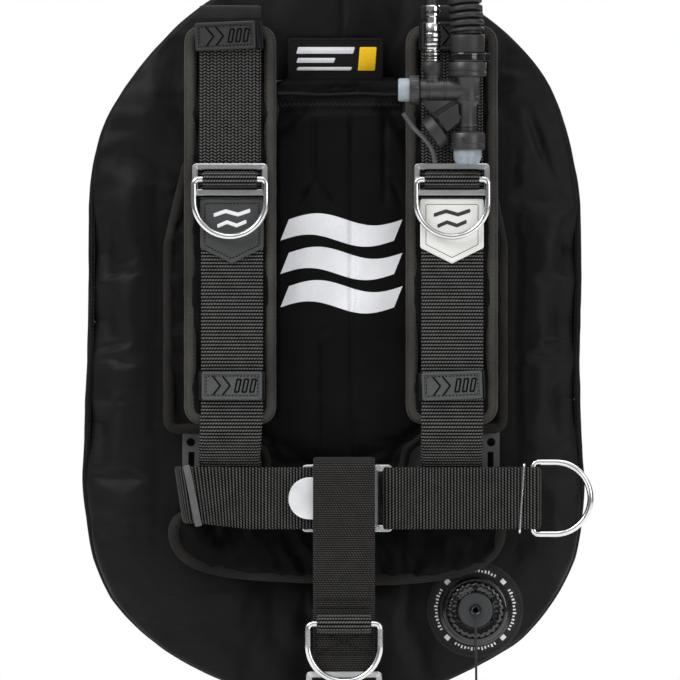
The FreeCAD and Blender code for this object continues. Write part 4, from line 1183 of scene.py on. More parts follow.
def make_chest_patch(side, sign):
    """The five-sided rubber patch under the ring: stepped edge, stitching and a plain mark."""
    x = sign * STRAP_X + (RIGHT_SHIFT if sign < 0 else 0)
    y = STRAP_Y - WEBBING_THICKNESS / 2 - 0.3
    origin = (x, y, 0)
    corners = [(-26, 51), (0, 38), (26, 51), (26, 91), (-26, 91)]
    white = side == "left"
    slot = "patch_white" if white else "patch_grey"
    name = f"chest_patch_{side}"
    plate = relief(name + "_moulding", corners, 2.4,
                   [(0.4, 0), (0, 0.5), (0, 1.7), (0.6, 2.3), (2.0, 2.45), (2.5, 2.3), (2.9, 1.9)], origin)
    finish_piece(plate, "harness", slot, (name,))
    if white:
        ring = frame_ring(name + "_inlay", corners, 2.4, 1.1, 1.2, (x, y - 1.0, 0))
        middle, scale = np.array([x, 0, 66.0]), np.array([0.84, 1.0, 0.84])
        set_points(ring, (points_of(ring) - middle) * scale + middle)
        finish_piece(ring, "harness", "ink")
        row = [(x + px, y - 2.4, pz) for px, pz in rounded(corners, 2.4, 1.4)]
        sewn(name + "_dashes", row, slot, 2.6, 1.8, 0.22, "thread_white")
    else:
        row = [(x + px, y - 2.0, pz) for px, pz in rounded(corners, 2.4, 3.8)]
        sewn(name + "_dashes", row, slot, 2.6, 1.7, 0.36, "badge_dark")
    for n in range(2):
        z, wide = 76 - 9 * n, 15 - 3.0 * n
        wave = [(-wide, z), (-wide / 3, z + 3.4), (wide / 3, z + 0.6), (wide, z + 4.0), (wide, z + 7.2),
                (wide / 3, z + 3.8), (-wide / 3, z + 6.6), (-wide, z + 3.2)]
        mark = relief(f"{name}_wave_{n}", wave, 0.9, [(0, 1.5), (0, 2.1), (0.35, 2.4)], (x, y, 0))
        finish_piece(mark, "harness", "ink" if white else "print_white")


def make_shoulder(side, sign):
    """One shoulder strap with its pad, slide, ring, patch and keepers."""
    make_shoulder_pad(side, sign)
    x, right = sign * STRAP_X, sign < 0
    line = [(x, y, z) for y, z in shoulder_line()]
    keeper_split, slide_split = (x, STRAP_TOP_Y, 226), (x, STRAP_Y, 112)
    over_keeper, over_slide = 12, 15
    top = line[:over_keeper] + [keeper_split]
    upper = [keeper_split] + line[over_keeper:over_slide] + [slide_split]
    lower = [slide_split] + line[over_slide:]
    node = f"shoulder_webbing_{side}"
    lean = 2.4 if right else 0.4

    def drift(p):
        """The strap leans a little sideways below the slide, and back again above the belt."""
        rise = min(1.0, max(0.0, (p[2] - 60) / 50))
        fall = min(1.0, max(0.0, (-p[2] - 82) / 48))
        return lean * 0.7 * (1 - rise) - lean * 1.2 * fall if p[1] < -60 else 0.0

    woven(node + "_top", top, (1, 0, 0), "webbing_plain", node, (2.0, 0.15), 0.5)
    woven(node + "_upper", upper, (1, 0, 0), "webbing_fine", node, (2.4, 0.2), 0.55, drift=drift)
    woven(node + "_lower", lower, (1, 0, 0), "webbing", node, (2.8, 0.6), 0.46, drift=drift)
    bar = (STRAP_Y - 10.0, SLIDE_Z)
    ring_loop(f"ring_loop_{side}", bar, STRAP_Y - 1.8, x, 5.5, node)
    make_slider(f"shoulder_slide_{side}", f"shoulder_slider_{side}", (x, STRAP_Y - 2.5, SLIDE_Z))
    d_ring(f"shoulder_ring_{side}_wire", f"shoulder_dring_{side}", (x, *bar), (1, 0, 0), (0, 0, -1),
           f"shoulder_ring_{side}")
    make_chest_patch(side, sign)
    make_keeper("upper", side, x, STRAP_TOP_Y, 225.0, -2.5 if right else 0.0)
    make_keeper("lower", side, x + (RIGHT_SHIFT if right else 0), STRAP_Y, -62.0, 0.0 if right else -2.3)


def belt_part(name, line, node, rib_depth=0.6, thickness=WEBBING_THICKNESS):
    """One run of the waist belt along points in XY."""
    return woven(name, [(x, y, BELT_Z) for x, y in line], (0, 0, 1), "belt_webbing", node, (2.6, rib_depth),
                 0.43, thickness)


def make_belt():
    """Both halves of the ribbed waist belt, the slides that gather them and the hip ring."""
    right = [(-117.6, -14.6), (-121.2, -14.6), (-123.4, -17), (-123.6, -24), (-127, -34), (-133, -46)]
    right += [(-131, -59), (-121, BELT_Y), (-60, BELT_Y), (8, BELT_Y)]
    made = belt_part("waist_belt_right_webbing", right, "waist_belt_right")
    points = points_of(made)
    bend = np.clip((-75 - points[:, 0]) / 45, 0, 1)
    points[:, 0] -= 0.14 * (points[:, 2] - BELT_Z) * bend
    points[:, 2] += bend * (2.6 - 0.08 * (points[:, 2] - BELT_Z))
    set_points(made, points)
    tail = [(-62, -66.4), (-48, -67.0), (-38, -70.4), (-31, -72.3), (-8, -72.3)]
    belt_part("waist_belt_right_tail", tail, "waist_belt_right", 0.5, 1.9)
    wrap = 5.2
    bar = (158, BELT_Y + wrap)
    left = [(36, BELT_Y), (90, BELT_Y), (152, BELT_Y)] + arc(bar, wrap, -90, 91, 20)
    left += [(148, -54), (134, -44), (125, -32), (123.6, -24), (123.4, -17), (121.2, -14.6), (117.6, -14.6)]
    belt_part("waist_belt_left_webbing", left, "waist_belt_left")
    fold = [(74, -66.6), (60, -67.2), (50, -70.6), (44, -72.4), (38, -72.6), (34.8, -70.6), (34.8, -67.6)]
    belt_part("waist_belt_left_fold", fold + [(38, -66)], "waist_belt_left", 0.5, 1.9)
    slide_x, lean = -121.5, -11.5
    bar_right = relief("belt_slide_right_bar", rectangle(5.6, 51), 1.2,
                       [(0.3, 0), (0, 0.3), (0, 1.0), (0.4, 1.3)], (slide_x, BELT_Y - 1.9, BELT_Z + 2.0))
    turn_flat([bar_right], (slide_x, BELT_Y, BELT_Z), lean)
    finish_piece(bar_right, "harness", "strip", ("belt_slide_right",))
    hoop = rounded([(-2.6, -28), (5.4, -28), (5.4, 28), (-2.6, 28)], 1.8)
    path = [(148.4 + 0.066 * v, BELT_Y + u, BELT_Z + v) for u, v in hoop]
    path, _ = resample(path + path[:1], 0.8, rounds=0)
    wire = tube("belt_slide_left_wire", path[:-1], 0.95, 12, closed=True, upright=(1, 0, 0))
    finish_piece(wire, "harness", "steel", ("belt_slide_left",))
    d_ring("hip_ring_wire", "hip_dring", (*bar, BELT_Z), (0, 0, 1), (1, 0, 0), "hip_ring")


def make_buckle():
    """Steel cam buckle: two-window frame with ears, pin, and the round-ended lever."""
    rear, pin_x, lever_x, lever_radius = BELT_Y - WEBBING_THICKNESS / 2 - 0.35, 27, -26, 17.2
    parts = [frame_ring("buckle_frame_ring", rectangle(74, 55), 4.0, 5.4, 3.3, (5, rear, BELT_Z))]
    for label, x, wide in (("left", 25.7, 7.2), ("right", -26.6, 3.0)):
        parts.append(relief(f"buckle_rail_{label}", rectangle(wide, 45), 1.0,
                            [(0.4, 0), (0, 0.4), (0, 2.9), (0.5, 3.3)], (x, rear, BELT_Z)))
    for label, z in (("lower", BELT_Z - 25.3), ("upper", BELT_Z + 25.3)):
        parts.append(relief(f"buckle_ear_{label}", rectangle(9.6, 4.2), 1.2,
                            [(0.2, 0), (0, 0.3), (0, 8.8), (0.6, 9.5)], (pin_x, rear, z)))
    made = joined("buckle_frame_steel", parts)
    finish_piece(made, "harness", "steel_flat", ("buckle_frame",))
    pin_y = rear - 7.2
    rod = lathe("buckle_pin_rod", (pin_x, pin_y, BELT_Z - 27.6), (0, 0, 1),
                [(1.2, 0), (1.9, 0.5), (2.0, 1.0), (2.0, 54.2), (1.9, 54.7), (1.2, 55.2)], 24)
    finish_piece(rod, "harness", "steel", ("buckle_pin",))
    outline = [(27.5, -lever_radius), (27.5, lever_radius)] + arc((lever_x, 0), lever_radius, 90, 271, 12)
    lever = relief("buckle_lever_plate", outline, 0.8,
                   [(0.7, 0), (0, 0.5), (0, 2.3), (0.5, 2.85), (1.4, 3.0)], (0, pin_y + 1.0, BELT_Z))
    boss = lathe("lever_boss", (pin_x, pin_y, BELT_Z - 22.4), (0, 0, 1),
                 [(2.1, 0), (3.0, 0.1), (3.4, 0.6), (3.4, 44.2), (3.0, 44.7), (2.1, 44.8)], 32)
    finish_piece(lever, "buckle_lever", "silver", ("buckle_lever",))
    # The boss is the lever's steel in the dark grey slide finish: painted shade along the lever's hinge.
    finish_piece(boss, "buckle_lever", "strip")


def make_crotch():
    """The crotch strap: up from the plate, round the belt and down, with sewn rows and its ring."""
    y, x = CROTCH_Y, CROTCH_X
    line = [(-7, -160), (-6.6, -172), (-3.8, -176.3), (1.6, -176.7), (4.4, -181), (3.6, -190), (-5, -199)]
    line += [(-14, -214), (-19, -243), (-38, -330), (-55, -388), (-64, -405), (-74, -409), (y + 3, -398)]
    line += [(y, -380), (y, -260), (y, -132), (y + 2, -125), (y + 8, -122), (-67, -122), (-61.5, -125)]
    line += [(-60, -132), (-60, -190), (-67, -222), (y + 6, -240), (y + 3.2, -250)]
    woven("crotch_strap_webbing", [(x, a, b) for a, b in line], (1, 0, 0), "crotch_webbing", "crotch_strap",
          (1.8, 0.3), 0.36)
    bar = (y - 7.0, -257)
    ring_loop("crotch_ring_loop", bar, y - 2.6, x, 6.5, "crotch_strap")
    face, gauge = y - 1.85, (2.9, 2.2, 0.45)
    for label, z in (("row_upper", -237.0), ("row_lower", -243.6), ("row_end", -277.5)):
        sewn("crotch_" + label, [(x - 23.5, face, z), (x + 23.5, face, z)], "webbing", *gauge, closed=False)
    box = [(x + px, face, pz) for px, pz in ((-22.5, -262), (22.5, -262), (22.5, -282), (-22.5, -282))]
    sewn("crotch_box_stitch", box, "webbing", *gauge)
    for n in range(2):
        sewn(f"crotch_cross_stitch_{n}", [box[n], box[n + 2]], "webbing", *gauge, closed=False)
    d_ring("crotch_ring_wire", "crotch_dring", (x, *bar), (1, 0, 0), (0, 0, -1), "crotch_ring")
    make_slider("crotch_slide", "crotch_slider", (x, y - 1.45, -309))


# ---------------------------------------------------------------- inflator, hoses and valve


def spline(name, route, bevel=None):
    """One smooth NURBS spline with the route's points as its control points, bevel its radius."""
    curve = bpy.data.curves.new(name, "CURVE")
    curve.dimensions = "3D"
    curve.resolution_u = 14
    line = curve.splines.new("NURBS")
    line.points.add(len(route) - 1)
    for point, at in zip(line.points, route):
        point.co = (*(c * MM for c in at), 1.0)
    line.order_u = 3
    line.use_endpoint_u = True
    if bevel:
        curve.bevel_depth = bevel * MM
        curve.bevel_resolution = 7
        curve.use_fill_caps = True
    made = bpy.data.objects.new(name, curve)
    bpy.context.scene.collection.objects.link(made)
    return made


def spline_points(route):
    """The points that a route's NURBS spline runs through, in mm."""
    guide = spline("guide", route)
    graph = bpy.context.evaluated_depsgraph_get()
    mesh = bpy.data.meshes.new_from_object(guide.evaluated_get(graph))
    points = np.array([v.co[:] for v in mesh.vertices]) / MM
    bpy.data.objects.remove(guide)
    return points


def make_cords():
    """The corrugated hose, the feed hose, the pull cord and the bungee."""
    line, reach = resample(spline_points(CORRUGATED_ROUTE), 0.5, rounds=0)
    rib_pitch, rib_radius, inside_cuff = 6.0, 14.1, 11.0
    valley = np.abs((reach / rib_pitch + 0.5) % 1.0 - 0.5) * rib_pitch
    radius = rib_radius - 2.9 * np.exp(-(valley / 0.9) ** 2) - 0.25 * np.clip((2.4 - valley) / 2.4, 0, 1)
    radius[:5] = radius[-5:] = inside_cuff
    hose = tube("corrugated_hose_tube", line, radius, 36, upright=(1, 0.2, 0.1))
    finish_piece(hose, "harness", "rubber", ("corrugated_hose",))
    hose.data.set_sharp_from_angle(angle=math.radians(80))
    feed = spline("feed_hose_line", FEED_ROUTE, 4.75)
    finish_piece(feed, "harness", "rubber", ("feed_hose",))
    fitting = make_feed_fitting()
    cord = spline("pull_cord_line", PULL_CORD_ROUTE, 1.0)
    finish_piece(cord, "dump_pull", "cord", ("pull_cord",))
    x, y, z = PULL_CORD_ROUTE[-1]
    knob = lathe("pull_knob_ball", (x, y, z - 0.1), (0, 0, -1),
                 [(1.2, -0.4), (3.2, 0.2), (5.6, 2.2), (6.9, 5.5), (7.0, 9.0), (6.2, 12.0), (5.4, 14.0),
                  (5.5, 15.2), (6.3, 16.4), (6.2, 18.6), (4.6, 19.8), (1.5, 20.0)], 40)
    finish_piece(knob, "dump_pull", "gloss", ("pull_knob",))
    bungee = spline("retainer_bungee_line", BUNGEE_ROUTE, 1.85)
    finish_piece(bungee, "harness", "bungee", ("retainer_bungee",))


def make_feed_fitting():
    """The feed hose's lower end: crimped ferrule, hexagon and threaded nose."""
    x, y, z = FEED_ROUTE[-1]
    crimp = [(4.9, 0.1), (6.6, 0.3), (6.9, 1.2), (6.9, 3.0), (6.4, 3.8), (6.4, 6.0), (6.9, 6.8), (6.9, 9.0),
             (6.4, 9.8), (6.4, 12.0), (6.9, 12.8), (6.9, 20.4), (6.5, 21.8), (4.4, 22.0), (4.4, 24.3)]
    ferrule = lathe("feed_ferrule", (x, y, z), (0, 0, -1), crimp, 48)
    hexagon = hexagon_nut("feed_hexagon", (x, y, z - 31.2), 8.0, 7.0)
    crest, root, start, pitch = 4.76, 4.3, 31.6, 0.72
    thread = [(crest, 31.0)]
    for i in range(11):
        thread += [(crest, start + pitch * i), (root, start + pitch * (i + 0.5))]
    nose = lathe("feed_thread", (x, y, z), (0, 0, -1), thread + [(4.5, 39.6), (3.2, 39.9)], 40)
    made = joined("feed_fitting_metal", [ferrule, hexagon, nose])
    finish_piece(made, "harness", "chrome", ("feed_fitting",))
    return [made]


def hexagon_nut(name, base, radius, height):
    """A hexagon with eased ends, standing up from its base."""
    profile = [(radius - 0.8, 0), (radius, 0.7), (radius, height - 0.7), (radius - 0.8, height)]

    def flats(angle, along):
        turned = (angle + math.pi / 6) % (math.pi / 3) - math.pi / 6
        return math.cos(math.pi / 6) / math.cos(turned) if 0.3 < along < height - 0.3 else 0.96

    return lathe(name, base, (0, 0, 1), profile, 60, flats)


def make_inflator():
    """Inflator head: ribbed grip, side barrel, cup, gusset and mouthpiece branch."""
    x, y = INFLATOR
    axis = (x, y, 0)
    grip = lathe("inflator_grip", axis, (0, 0, 1), [
        (7.0, 144), (7.4, 145.5), (7.4, 149), (7.9, 149.6), (7.9, 151), (7.4, 151.6), (7.4, 166), (8.2, 168),
        (9.4, 169.4), (9.8, 171), (9.8, 174), (9.3, 174.6), (9.3, 186), (9.8, 186.8), (10.6, 190.2),
        (14.8, 191.0), (15.6, 191.8), (15.6, 194.2), (15.0, 194.8), (15.0, 195.6), (15.6, 196.2),
        (15.6, 201.6), (15.0, 202.6), (13.5, 203)], 64)
    cup = lathe("inflator_cup", axis, (0, 0, 1), [
        (12.0, 131.3), (12.0, 131.0), (13.4, 131.0), (14.4, 131.6), (14.5, 132.6), (14.5, 134.4),
        (14.1, 134.9), (14.1, 135.6), (14.5, 136.1), (14.5, 143.0), (13.8, 144.6), (12.0, 145.2),
        (8.0, 145.8), (6.6, 146.4)], 64)
    barrel = lathe("inflator_barrel", (0, y, BARREL_Z), (1, 0, 0), [
        (7.9, 64.5), (8.5, 65.0), (8.6, 66), (8.6, 70), (8.1, 70.5), (8.1, 72), (8.6, 72.5), (8.6, 84),
        (8.1, 84.5), (8.1, 86), (8.6, 86.5), (8.6, 103.2), (7.6, 104.4), (4, 104.5)], 48)
    socket = lathe("coupler_socket", (COUPLER_X, y, 0), (0, 0, 1), [
        (7.0, 180), (7.0, 188), (6.6, 188.5), (6.6, 190), (7.0, 190.6), (7.0, 195.6), (6.4, 196)], 40)
    gusset = relief("inflator_gusset", [(64.5, 172), (97, 172), (97, 152), (85.5, 145.5), (75, 159)], 1.2,
                    [(0.4, 0), (0, 0.4), (0, 2.3), (0.5, 2.8)], (0, y + 1.45, 0))
    web = relief("gusset_upper", [(66, 171.6), (92, 171.6), (75.8, 160.6), (70, 167)], 0.8,
                 [(0.2, 0), (0, 0.3), (0, 4.0), (0.4, 4.4)], (0, y + 1.9, 0))
    lip = relief("gusset_lower", [(78.2, 157.6), (96, 169.2), (97.2, 153.4), (86.6, 145.2)], 0.8,
                 [(0.2, 0), (0, 0.3), (0, 8.4), (0.5, 8.9)], (0, y + 1.9, 0))
    branch = lathe("mouthpiece_branch", MOUTH_ROOT - MOUTH_AXIS * 2, MOUTH_AXIS,
                   [(5.6, 0), (6.4, 0.6), (6.4, 6.4), (6.0, 7)], 40)
    vent = lathe("cup_vent", (x - 3.5, y - 14.2, 139.5), (0, -1, 0),
                 [(1.7, 0), (1.7, 0.6), (1.2, 0.7), (0.9, 0.2)], 20)
    made = joined("inflator_housing", [grip, cup, barrel, socket, gusset, web, lip, branch, vent])
    finish_piece(made, "harness", "plastic", ("inflator_body",))


def make_buttons():
    """The inflate button with its knurled collar, and the ribbed deflate button below."""
    x, y = INFLATOR
    collar = lathe("inflate_collar_ring", (0, y, BARREL_Z), (1, 0, 0), [
        (10.0, 62.3), (10.0, 56.6), (10.4, 56.0), (11.5, 56.0), (12.0, 56.6), (12.0, 63.4), (11.4, 64.1),
        (8.4, 64.2)],
        60, lambda a, along: 1.0 + (0.018 * math.cos(a * 20) if 57 < along < 63.6 else 0))
    finish_piece(collar, "harness", "plastic", ("inflate_collar",))
    button = lathe("inflate_button_cap", (0, y, BARREL_Z), (1, 0, 0), [
        (3.0, 46.9), (5.0, 46.75), (6.4, 47.2), (6.9, 46.8), (8.2, 46.7), (9.1, 47.2), (9.5, 48.4),
        (9.5, 57.4), (8.8, 57.5)],
        60, lambda a, along: 1.0 - (0.02 * (math.cos(a * 24) > 0) if 48.6 < along < 56 else 0))
    finish_piece(button, "inflate_button", "button", ("inflate_button",))
    parts = [lathe("deflate_button_cap", (x, y, 0), (0, 0, 1), [
        (4.2, 119.6), (7.8, 119.4), (9.4, 120.0), (11.0, 123.4), (11.5, 125.0), (11.5, 131.4), (11.2, 131.8),
        (11.2, 132.4), (11.5, 132.8), (11.5, 133.6), (10.8, 134.0)], 72,
        lambda a, along: 1.0 - (0.13 if math.cos(a * 10) > 0.2 and 119.8 < along < 124.2 else 0))]
    ribs, face_z = 5, 119.9
    for n in range(ribs):
        rib = relief(f"button_rib_{n}", rectangle(17.0, 1.5), 0.4, [(0, 0), (0, 0.9), (0.3, 1.2)], (0, 0, 0))
        turn = Matrix.Rotation(math.pi * n / ribs, 4, "Z") @ Matrix.Rotation(math.pi / 2, 4, "X")
        rib.data.transform(Matrix.Translation((x * MM, y * MM, face_z * MM)) @ turn)
        parts.append(rib)
    made = joined("deflate_button_body", parts)
    finish_piece(made, "deflate_button", "button", ("deflate_button",))


def make_mouthpiece():
    """The rubber mouthpiece on the end of the slanted branch."""
    mouth = lathe("mouthpiece_rubber", MOUTH_ROOT, MOUTH_AXIS, [
        (5.4, 5.2), (5.6, 6.0), (5.6, 15.5), (7.0, 16.8), (12.8, 17.4), (13.7, 18.0), (14.0, 19.2),
        (14.0, 25.6), (13.7, 26.8), (12.8, 27.5), (9.6, 27.5), (8.8, 26.8), (8.6, 24.3), (4.5, 24.2)], 64)
    finish_piece(mouth, "harness", "rubber", ("mouthpiece",))


def make_hose_cuff():
    """The corrugated hose's rubber cuff and the clamp that holds it on the inflator's neck."""
    x, y = INFLATOR
    axis = (x, y, 0)
    cuff = lathe("hose_cuff_rubber", axis, (0, 0, 1), [
        (12.4, 210.2), (13.6, 210.4), (13.9, 211.2), (14.1, 214.5), (14.3, 219.5), (14.3, 223.4),
        (13.9, 224.7), (12.9, 225.2), (11.2, 225.3)], 60)
    finish_piece(cuff, "harness", "rubber", ("hose_cuff",))
    band = lathe("hose_clamp_band", axis, (0, 0, 1), [
        (14.2, 203.25), (15.1, 203.3), (15.3, 203.9), (15.3, 205.4), (14.8, 205.8), (14.8, 207.4),
        (15.3, 207.8), (15.3, 209.4), (15.1, 209.9), (14.0, 210)], 60)
    tab = relief("hose_clamp_tab", rectangle(5.8, 6.4), 0.8, [(0.2, 0), (0, 0.3), (0, 4.3), (0.5, 4.9)],
                 (x + 16, y + 2.45, 206.6))
    made = joined("hose_clamp_strap", [band, tab])
    finish_piece(made, "harness", "gloss", ("hose_clamp",))


def painted_shade_rings(name, heights, inner, outer, ease, width):
    """Painted shade: thin dark rings round the coupler, one from each height upwards, darkening its grooves
    and standing for the dark bands its chrome reflects.
    """
    profile = [(inner, 0), (outer - ease, 0.1), (outer, 0.5), (outer, width - 0.5),
        (outer - ease, width - 0.1),
               (inner, width)]
    return [lathe(f"{name}_{n}", (COUPLER_X, INFLATOR[1], z), (0, 0, 1), profile, 40)
            for n, z in enumerate(heights)]


def make_coupler():
    """Quick coupler: rubber boot, plated body, the knurled sleeve and dark rings of painted shade over them.
    """
    at = (COUPLER_X, INFLATOR[1], 0)
    boot = lathe("coupler_boot_rubber", at, (0, 0, 1), [
        (5.4, 190.8), (6.6, 191.2), (7.6, 192.6), (8.3, 195.0), (8.7, 197.6), (8.7, 199.6), (8.4, 201.4),
        (7.9, 202.4), (7.2, 202.9), (5.0, 203)], 56)
    finish_piece(boot, "harness", "rubber", ("coupler_boot",))
    body = lathe("coupler_body_metal", at, (0, 0, 1), [
        (5.2, 203.1), (6.0, 203.4), (6.1, 204.4), (6.1, 206.6), (5.5, 207.1), (5.5, 208.2), (6.1, 208.7),
        (6.1, 211.8), (5.4, 212.6), (5.0, 213), (5.0, 239.7), (5.6, 240.1), (6.1, 240.6), (6.1, 242.4),
        (5.6, 243), (5.6, 244.2), (6.1, 244.8), (6.1, 248.3), (5.4, 249.1), (4.8, 249.1)], 48)
    hexagon = hexagon_nut("coupler_hexagon", (COUPLER_X, INFLATOR[1], 239.5), 6.0, 3.2)
    made = joined("coupler_core_metal", [body, hexagon])
    finish_piece(made, "harness", "chrome", ("coupler_body",))
    # Dark rings over the body's grooves: painted shade.
    groove_shade_rings = painted_shade_rings("coupler_shade_band", (204.6, 207.0, 209.9, 243.0), 5.2, 6.7, 0.2, 1.6)
    finish_piece(joined("coupler_painted_shade", groove_shade_rings), "harness", "gloss")
    # Dark rings round the knurled sleeve: painted shade in its grooves and painted dark reflections on its
    # chrome.
    bands = painted_shade_rings("sleeve_shade_band", (214.6, 218.2, 221.8, 226.6), 5.8, 6.9, 0.3, 1.8)
    finish_piece(joined("coupler_sleeve_painted_shade", bands), "coupler_sleeve", "gloss")
    sleeve = lathe("coupler_sleeve_knurled", at, (0, 0, 1), [
        (5.06, 213.3), (5.7, 213.3), (6.1, 213.8), (6.15, 214.8), (5.8, 215.2), (5.8, 216), (6.2, 216.4),
        (6.2, 219), (6.2, 222), (6.2, 225), (6.2, 226.6), (5.8, 227), (5.8, 228), (6.2, 228.5),
        (6.15, 233.8), (5.6, 234.6), (5.06, 234.6)],
        72, lambda a, along: 1.0 - (0.03 if math.cos(a * 24) > 0 and 216.2 < along < 226.8 else 0))
    finish_piece(sleeve, "coupler_sleeve", "steel", ("coupler_sleeve",))


def make_elbow():
    """The wing's elbow: flange with screws, bent pipe and clamp band under the hose."""
    x, hose_y, _ = CORRUGATED_ROUTE[-1]
    z, seat = 222.0, 25.3
    bend = [(seat, 0), (34, 0), (44, 0.6), (50.6, 4.4), (53.6, 10), (hose_y, 15), (hose_y, 20.9)]
    line, _ = resample([(x, y, z + rise) for y, rise in bend], 1.2)
    pipe = tube("elbow_pipe", line, 12.7, 40, upright=(1, 0, 0))
    flange = lathe("elbow_flange", (x, seat, z), (0, 1, 0), [
        (20, 0), (23.4, 0.2), (24, 0.9), (24, 2.0), (23.2, 2.9), (18.6, 3.0), (17.6, 4.2), (14.2, 4.8),
        (13.0, 6.4)], 64)
    parts = [pipe, flange]
    for k, (screw_x, screw_z) in enumerate(circle((x, z), 21, 6)):
        parts.append(lathe(f"elbow_screw_{k}", (screw_x, 28.0, screw_z), (0, 1, 0),
                           [(1.6, 0), (1.6, 0.9), (1.1, 1.2), (0.5, 0.7)], 16))
    made = joined("elbow_moulding", parts)
    finish_piece(made, "harness", "plastic", ("wing_elbow",))
    band = lathe("elbow_clamp_band", (x, hose_y, 0), (0, 0, 1), [
        (13.1, 237.9), (14.4, 237.9), (14.6, 238.4), (14.6, 239.6), (14.1, 240), (14.1, 241), (14.6, 241.4),
        (14.6, 242.3), (14.3, 242.8), (13.1, 242.8)], 56)
    finish_piece(band, "harness", "gloss", ("elbow_clamp",))


def make_valve_patch(wing_tree):
    """The cloth ring welded round the valve, its two stitch rows and its printed ring of marks."""
    centre, count, rings = (VALVE_X, VALVE_Z), 96, (26.0, 27.5, 31.0, 35.0, 39.0, 40.0)
    points = []
    for r in rings:
        proud = 0.15 if r == rings[-1] else 0.8
        points += [(px * MM, -proud * MM, pz * MM) for px, pz in circle(centre, r, count)]
    ring = smooth(tidy_normals(new_mesh("valve_patch_ring", points, grid_faces(len(rings), count))))
    lay_on(ring, wing_tree)
    finish_piece(ring, "harness", "valve_patch")
    for label, r in (("inner", 28.9), ("outer", 37.4)):
        row = [(px, -1.0, pz) for px, pz in circle(centre, r, 120)]
        lay_on(sewn(f"valve_patch_{label}_stitches", row, "wing_fabric", 2.4, 1.7, 0.28), wing_tree)
    marks, places, tick_height = [], 72, 0.31
    for k in range(places):
        quarter = k % (places // 4)
        if quarter in (0, 2, 3, 17):
            continue
        low, high, half = 31.2, 34.0 - (k % 3) * 0.5, 0.62 + 0.12 * (k % 2)
        if quarter == 1:
            low, high, half = 30.8, 34.4, 2.2
        a = math.tau * (k - 1) / places + math.tau / 8
        row = [(VALVE_X + r * math.cos(a), -1.0, VALVE_Z + r * math.sin(a)) for r in (low, high)]
        marks.append(tube(f"valve_mark_{k}", row, half, 6, flat=tick_height / half))
    marks = lay_on(joined("valve_patch_marks", marks), wing_tree)
    finish_piece(marks, "harness", "print_white")


def make_valve(wing_tree):
    """Pull dump: its patch, body, slotted cap and the disc that the cord lifts."""
    make_valve_patch(wing_tree)
    x, z, face, forward = VALVE_X, VALVE_Z, WING_MID - 18.2, (0, -1, 0)
    base = lathe("valve_base_moulding", (x, face, z), forward, [
        (26, 0), (29.4, 0.2), (30, 0.7), (29.6, 1.4), (27.2, 1.6), (26.8, 2.4)]
        + arc((24.4, 5.4), 2.9, -40, 141, 15), 96)
    finish_piece(base, "harness", "gloss", ("valve_base",))

    def castle(a, along):
        """Slots round the cap's rim."""
        return 1.0 - (0.045 if math.cos(a * 26) > 0.35 and 9.0 < along < 15.4 else 0)

    shell = lathe("valve_cap_shell", (x, face, z), forward, [
        (21.4, 8.1), (22.8, 8.6), (23.4, 9.4), (23.4, 12.8), (22.9, 14.2), (21.6, 15.0), (20.4, 15.1),
        (19.8, 14.6), (19.5, 13.0), (19.3, 10.2), (16.5, 10.0), (16.2, 10.6), (15.9, 13.6), (15.5, 13.8),
        (15.2, 13.0), (15.2, 8.3)], 182, castle)
    parts, spokes, spoke_radius = [shell], 6, 17.9
    for k in range(spokes):
        a = math.tau * (k + 0.5) / spokes
        arm = relief(f"cap_spoke_{k}", rectangle(4.2, 3.4), 0.5, [(0.2, 0), (0, 0.3), (0, 4.4), (0.5, 4.9)],
                     (0, 0, 0))
        spot = Vector((x + spoke_radius * math.cos(a), face - 10.0, z + spoke_radius * math.sin(a))) * MM
        arm.data.transform(Matrix.Translation(spot) @ Matrix.Rotation(-a, 4, "Y"))
        parts.append(arm)
    made = joined("valve_cap_moulding", parts)
    finish_piece(made, "harness", "gloss", ("valve_cap",))
    disc = lathe("valve_disc_plate", (x, face, z), forward, [
        (13.8, 12.7), (14.5, 13.2), (14.6, 14.6), (14.3, 15.8), (13.6, 16.4), (12.6, 16.5), (6.0, 16.2),
        (4.4, 16.2)], 72)
    finish_piece(disc, "dump_pull", "disc", ("valve_disc",))
    eyelet = lathe("valve_disc_eyelet", (x, face, z), forward, [
        (4.6, 15.9), (5.0, 16.6), (4.9, 18.0), (4.2, 18.9), (3.2, 19.1), (2.3, 18.6), (1.7, 17.6),
        (1.5, 16.2)], 48)
    finish_piece(eyelet, "dump_pull", "gloss")


# ---------------------------------------------------------------- labels and plate


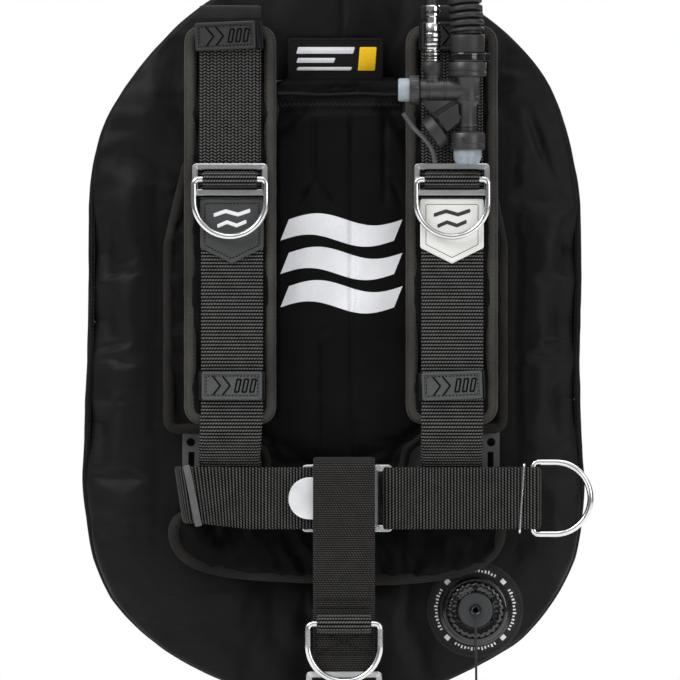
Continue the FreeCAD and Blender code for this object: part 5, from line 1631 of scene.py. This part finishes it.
def make_name_label():
    """The name patch high on the wing, with plain bars in place of lettering."""
    origin = (0, WING_MID - 18.3, 0)
    corners = [(-44, 191), (35, 191), (35, 225), (-44, 225)]
    label = relief("name_label", corners, 2.6,
                   [(0.2, 0), (0, 0.4), (0, 1.2), (0.5, 1.5), (1.5, 1.6), (2.4, 1.45)], origin)
    finish_piece(label, "harness", "label", ("name_patch",))
    row = [(px, origin[1] - 1.75, pz) for px, pz in rounded(corners, 2.6, 1.5)]
    sewn("name_label_stitches", row, "name_patch", 2.4, 1.7, 0.32)
    bars = (("white_long", (-37, 212), (10, 217.5), "print_white"),
            ("white_short", (-37, 204.5), (-6, 208.5), "print_white"),
            ("yellow", (14, 198), (28, 217.5), "print_yellow"),
            ("white_low", (-37, 198.2), (8, 201), "print_white"))
    slant = 1.6
    for name, (x0, z0), (x1, z1), paint in bars:
        outline = [(x0, z0), (x1, z0), (x1 + slant, z1), (x0 + slant, z1)]
        made = relief("label_bar_" + name, outline, 0.8, [(0, 1.2), (0, 1.75), (0.3, 1.9)], origin)
        finish_piece(made, "harness", paint)


def make_wave_marks(pad):
    """The back pad's white mark: three wave bands printed on the cloth."""
    tree = tree_of(pad)
    columns, rows, half_width, thick, swell, slant, proud = 80, 8, 46.8, 17.5, 5.0, 7.0, 0.35
    for n, z in enumerate((66.0, 38.5, 11.0)):
        points = []
        for i in range(columns + 1):
            t = i / columns
            middle = z + math.sin(math.tau * t) * swell
            for k in range(rows + 1):
                share = k / rows - 0.5
                x = 0.4 + (2 * t - 1) * half_width + share * slant
                points.append((x * MM, -proud * MM, (middle + thick * share) * MM))
        band = new_mesh(f"wave_mark_{n}", points, grid_faces(columns + 1, rows + 1, loop_columns=False))
        smooth(tidy_normals(lay_on(band, tree)))
        finish_piece(band, "harness", "print_white")


def paint_frame():
    """Materials on the CAD nodes that show as they are."""
    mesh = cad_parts["backplate"].data
    mesh.materials.clear()
    mesh.materials.append(PAINT["plate"])


make_stage()
PAINT = make_materials()
make_cords()
wing = make_wing()
make_center_panel()
back_pad = make_back_pad()
make_lumbar_pad()
for side, sign in SIDES:
    make_shoulder(side, sign)
make_belt()
make_buckle()
make_crotch()
make_inflator()
make_buttons()
make_mouthpiece()
make_hose_cuff()
make_coupler()
make_elbow()
make_valve(tree_of(wing))
make_name_label()
make_wave_marks(back_pad)
paint_frame()
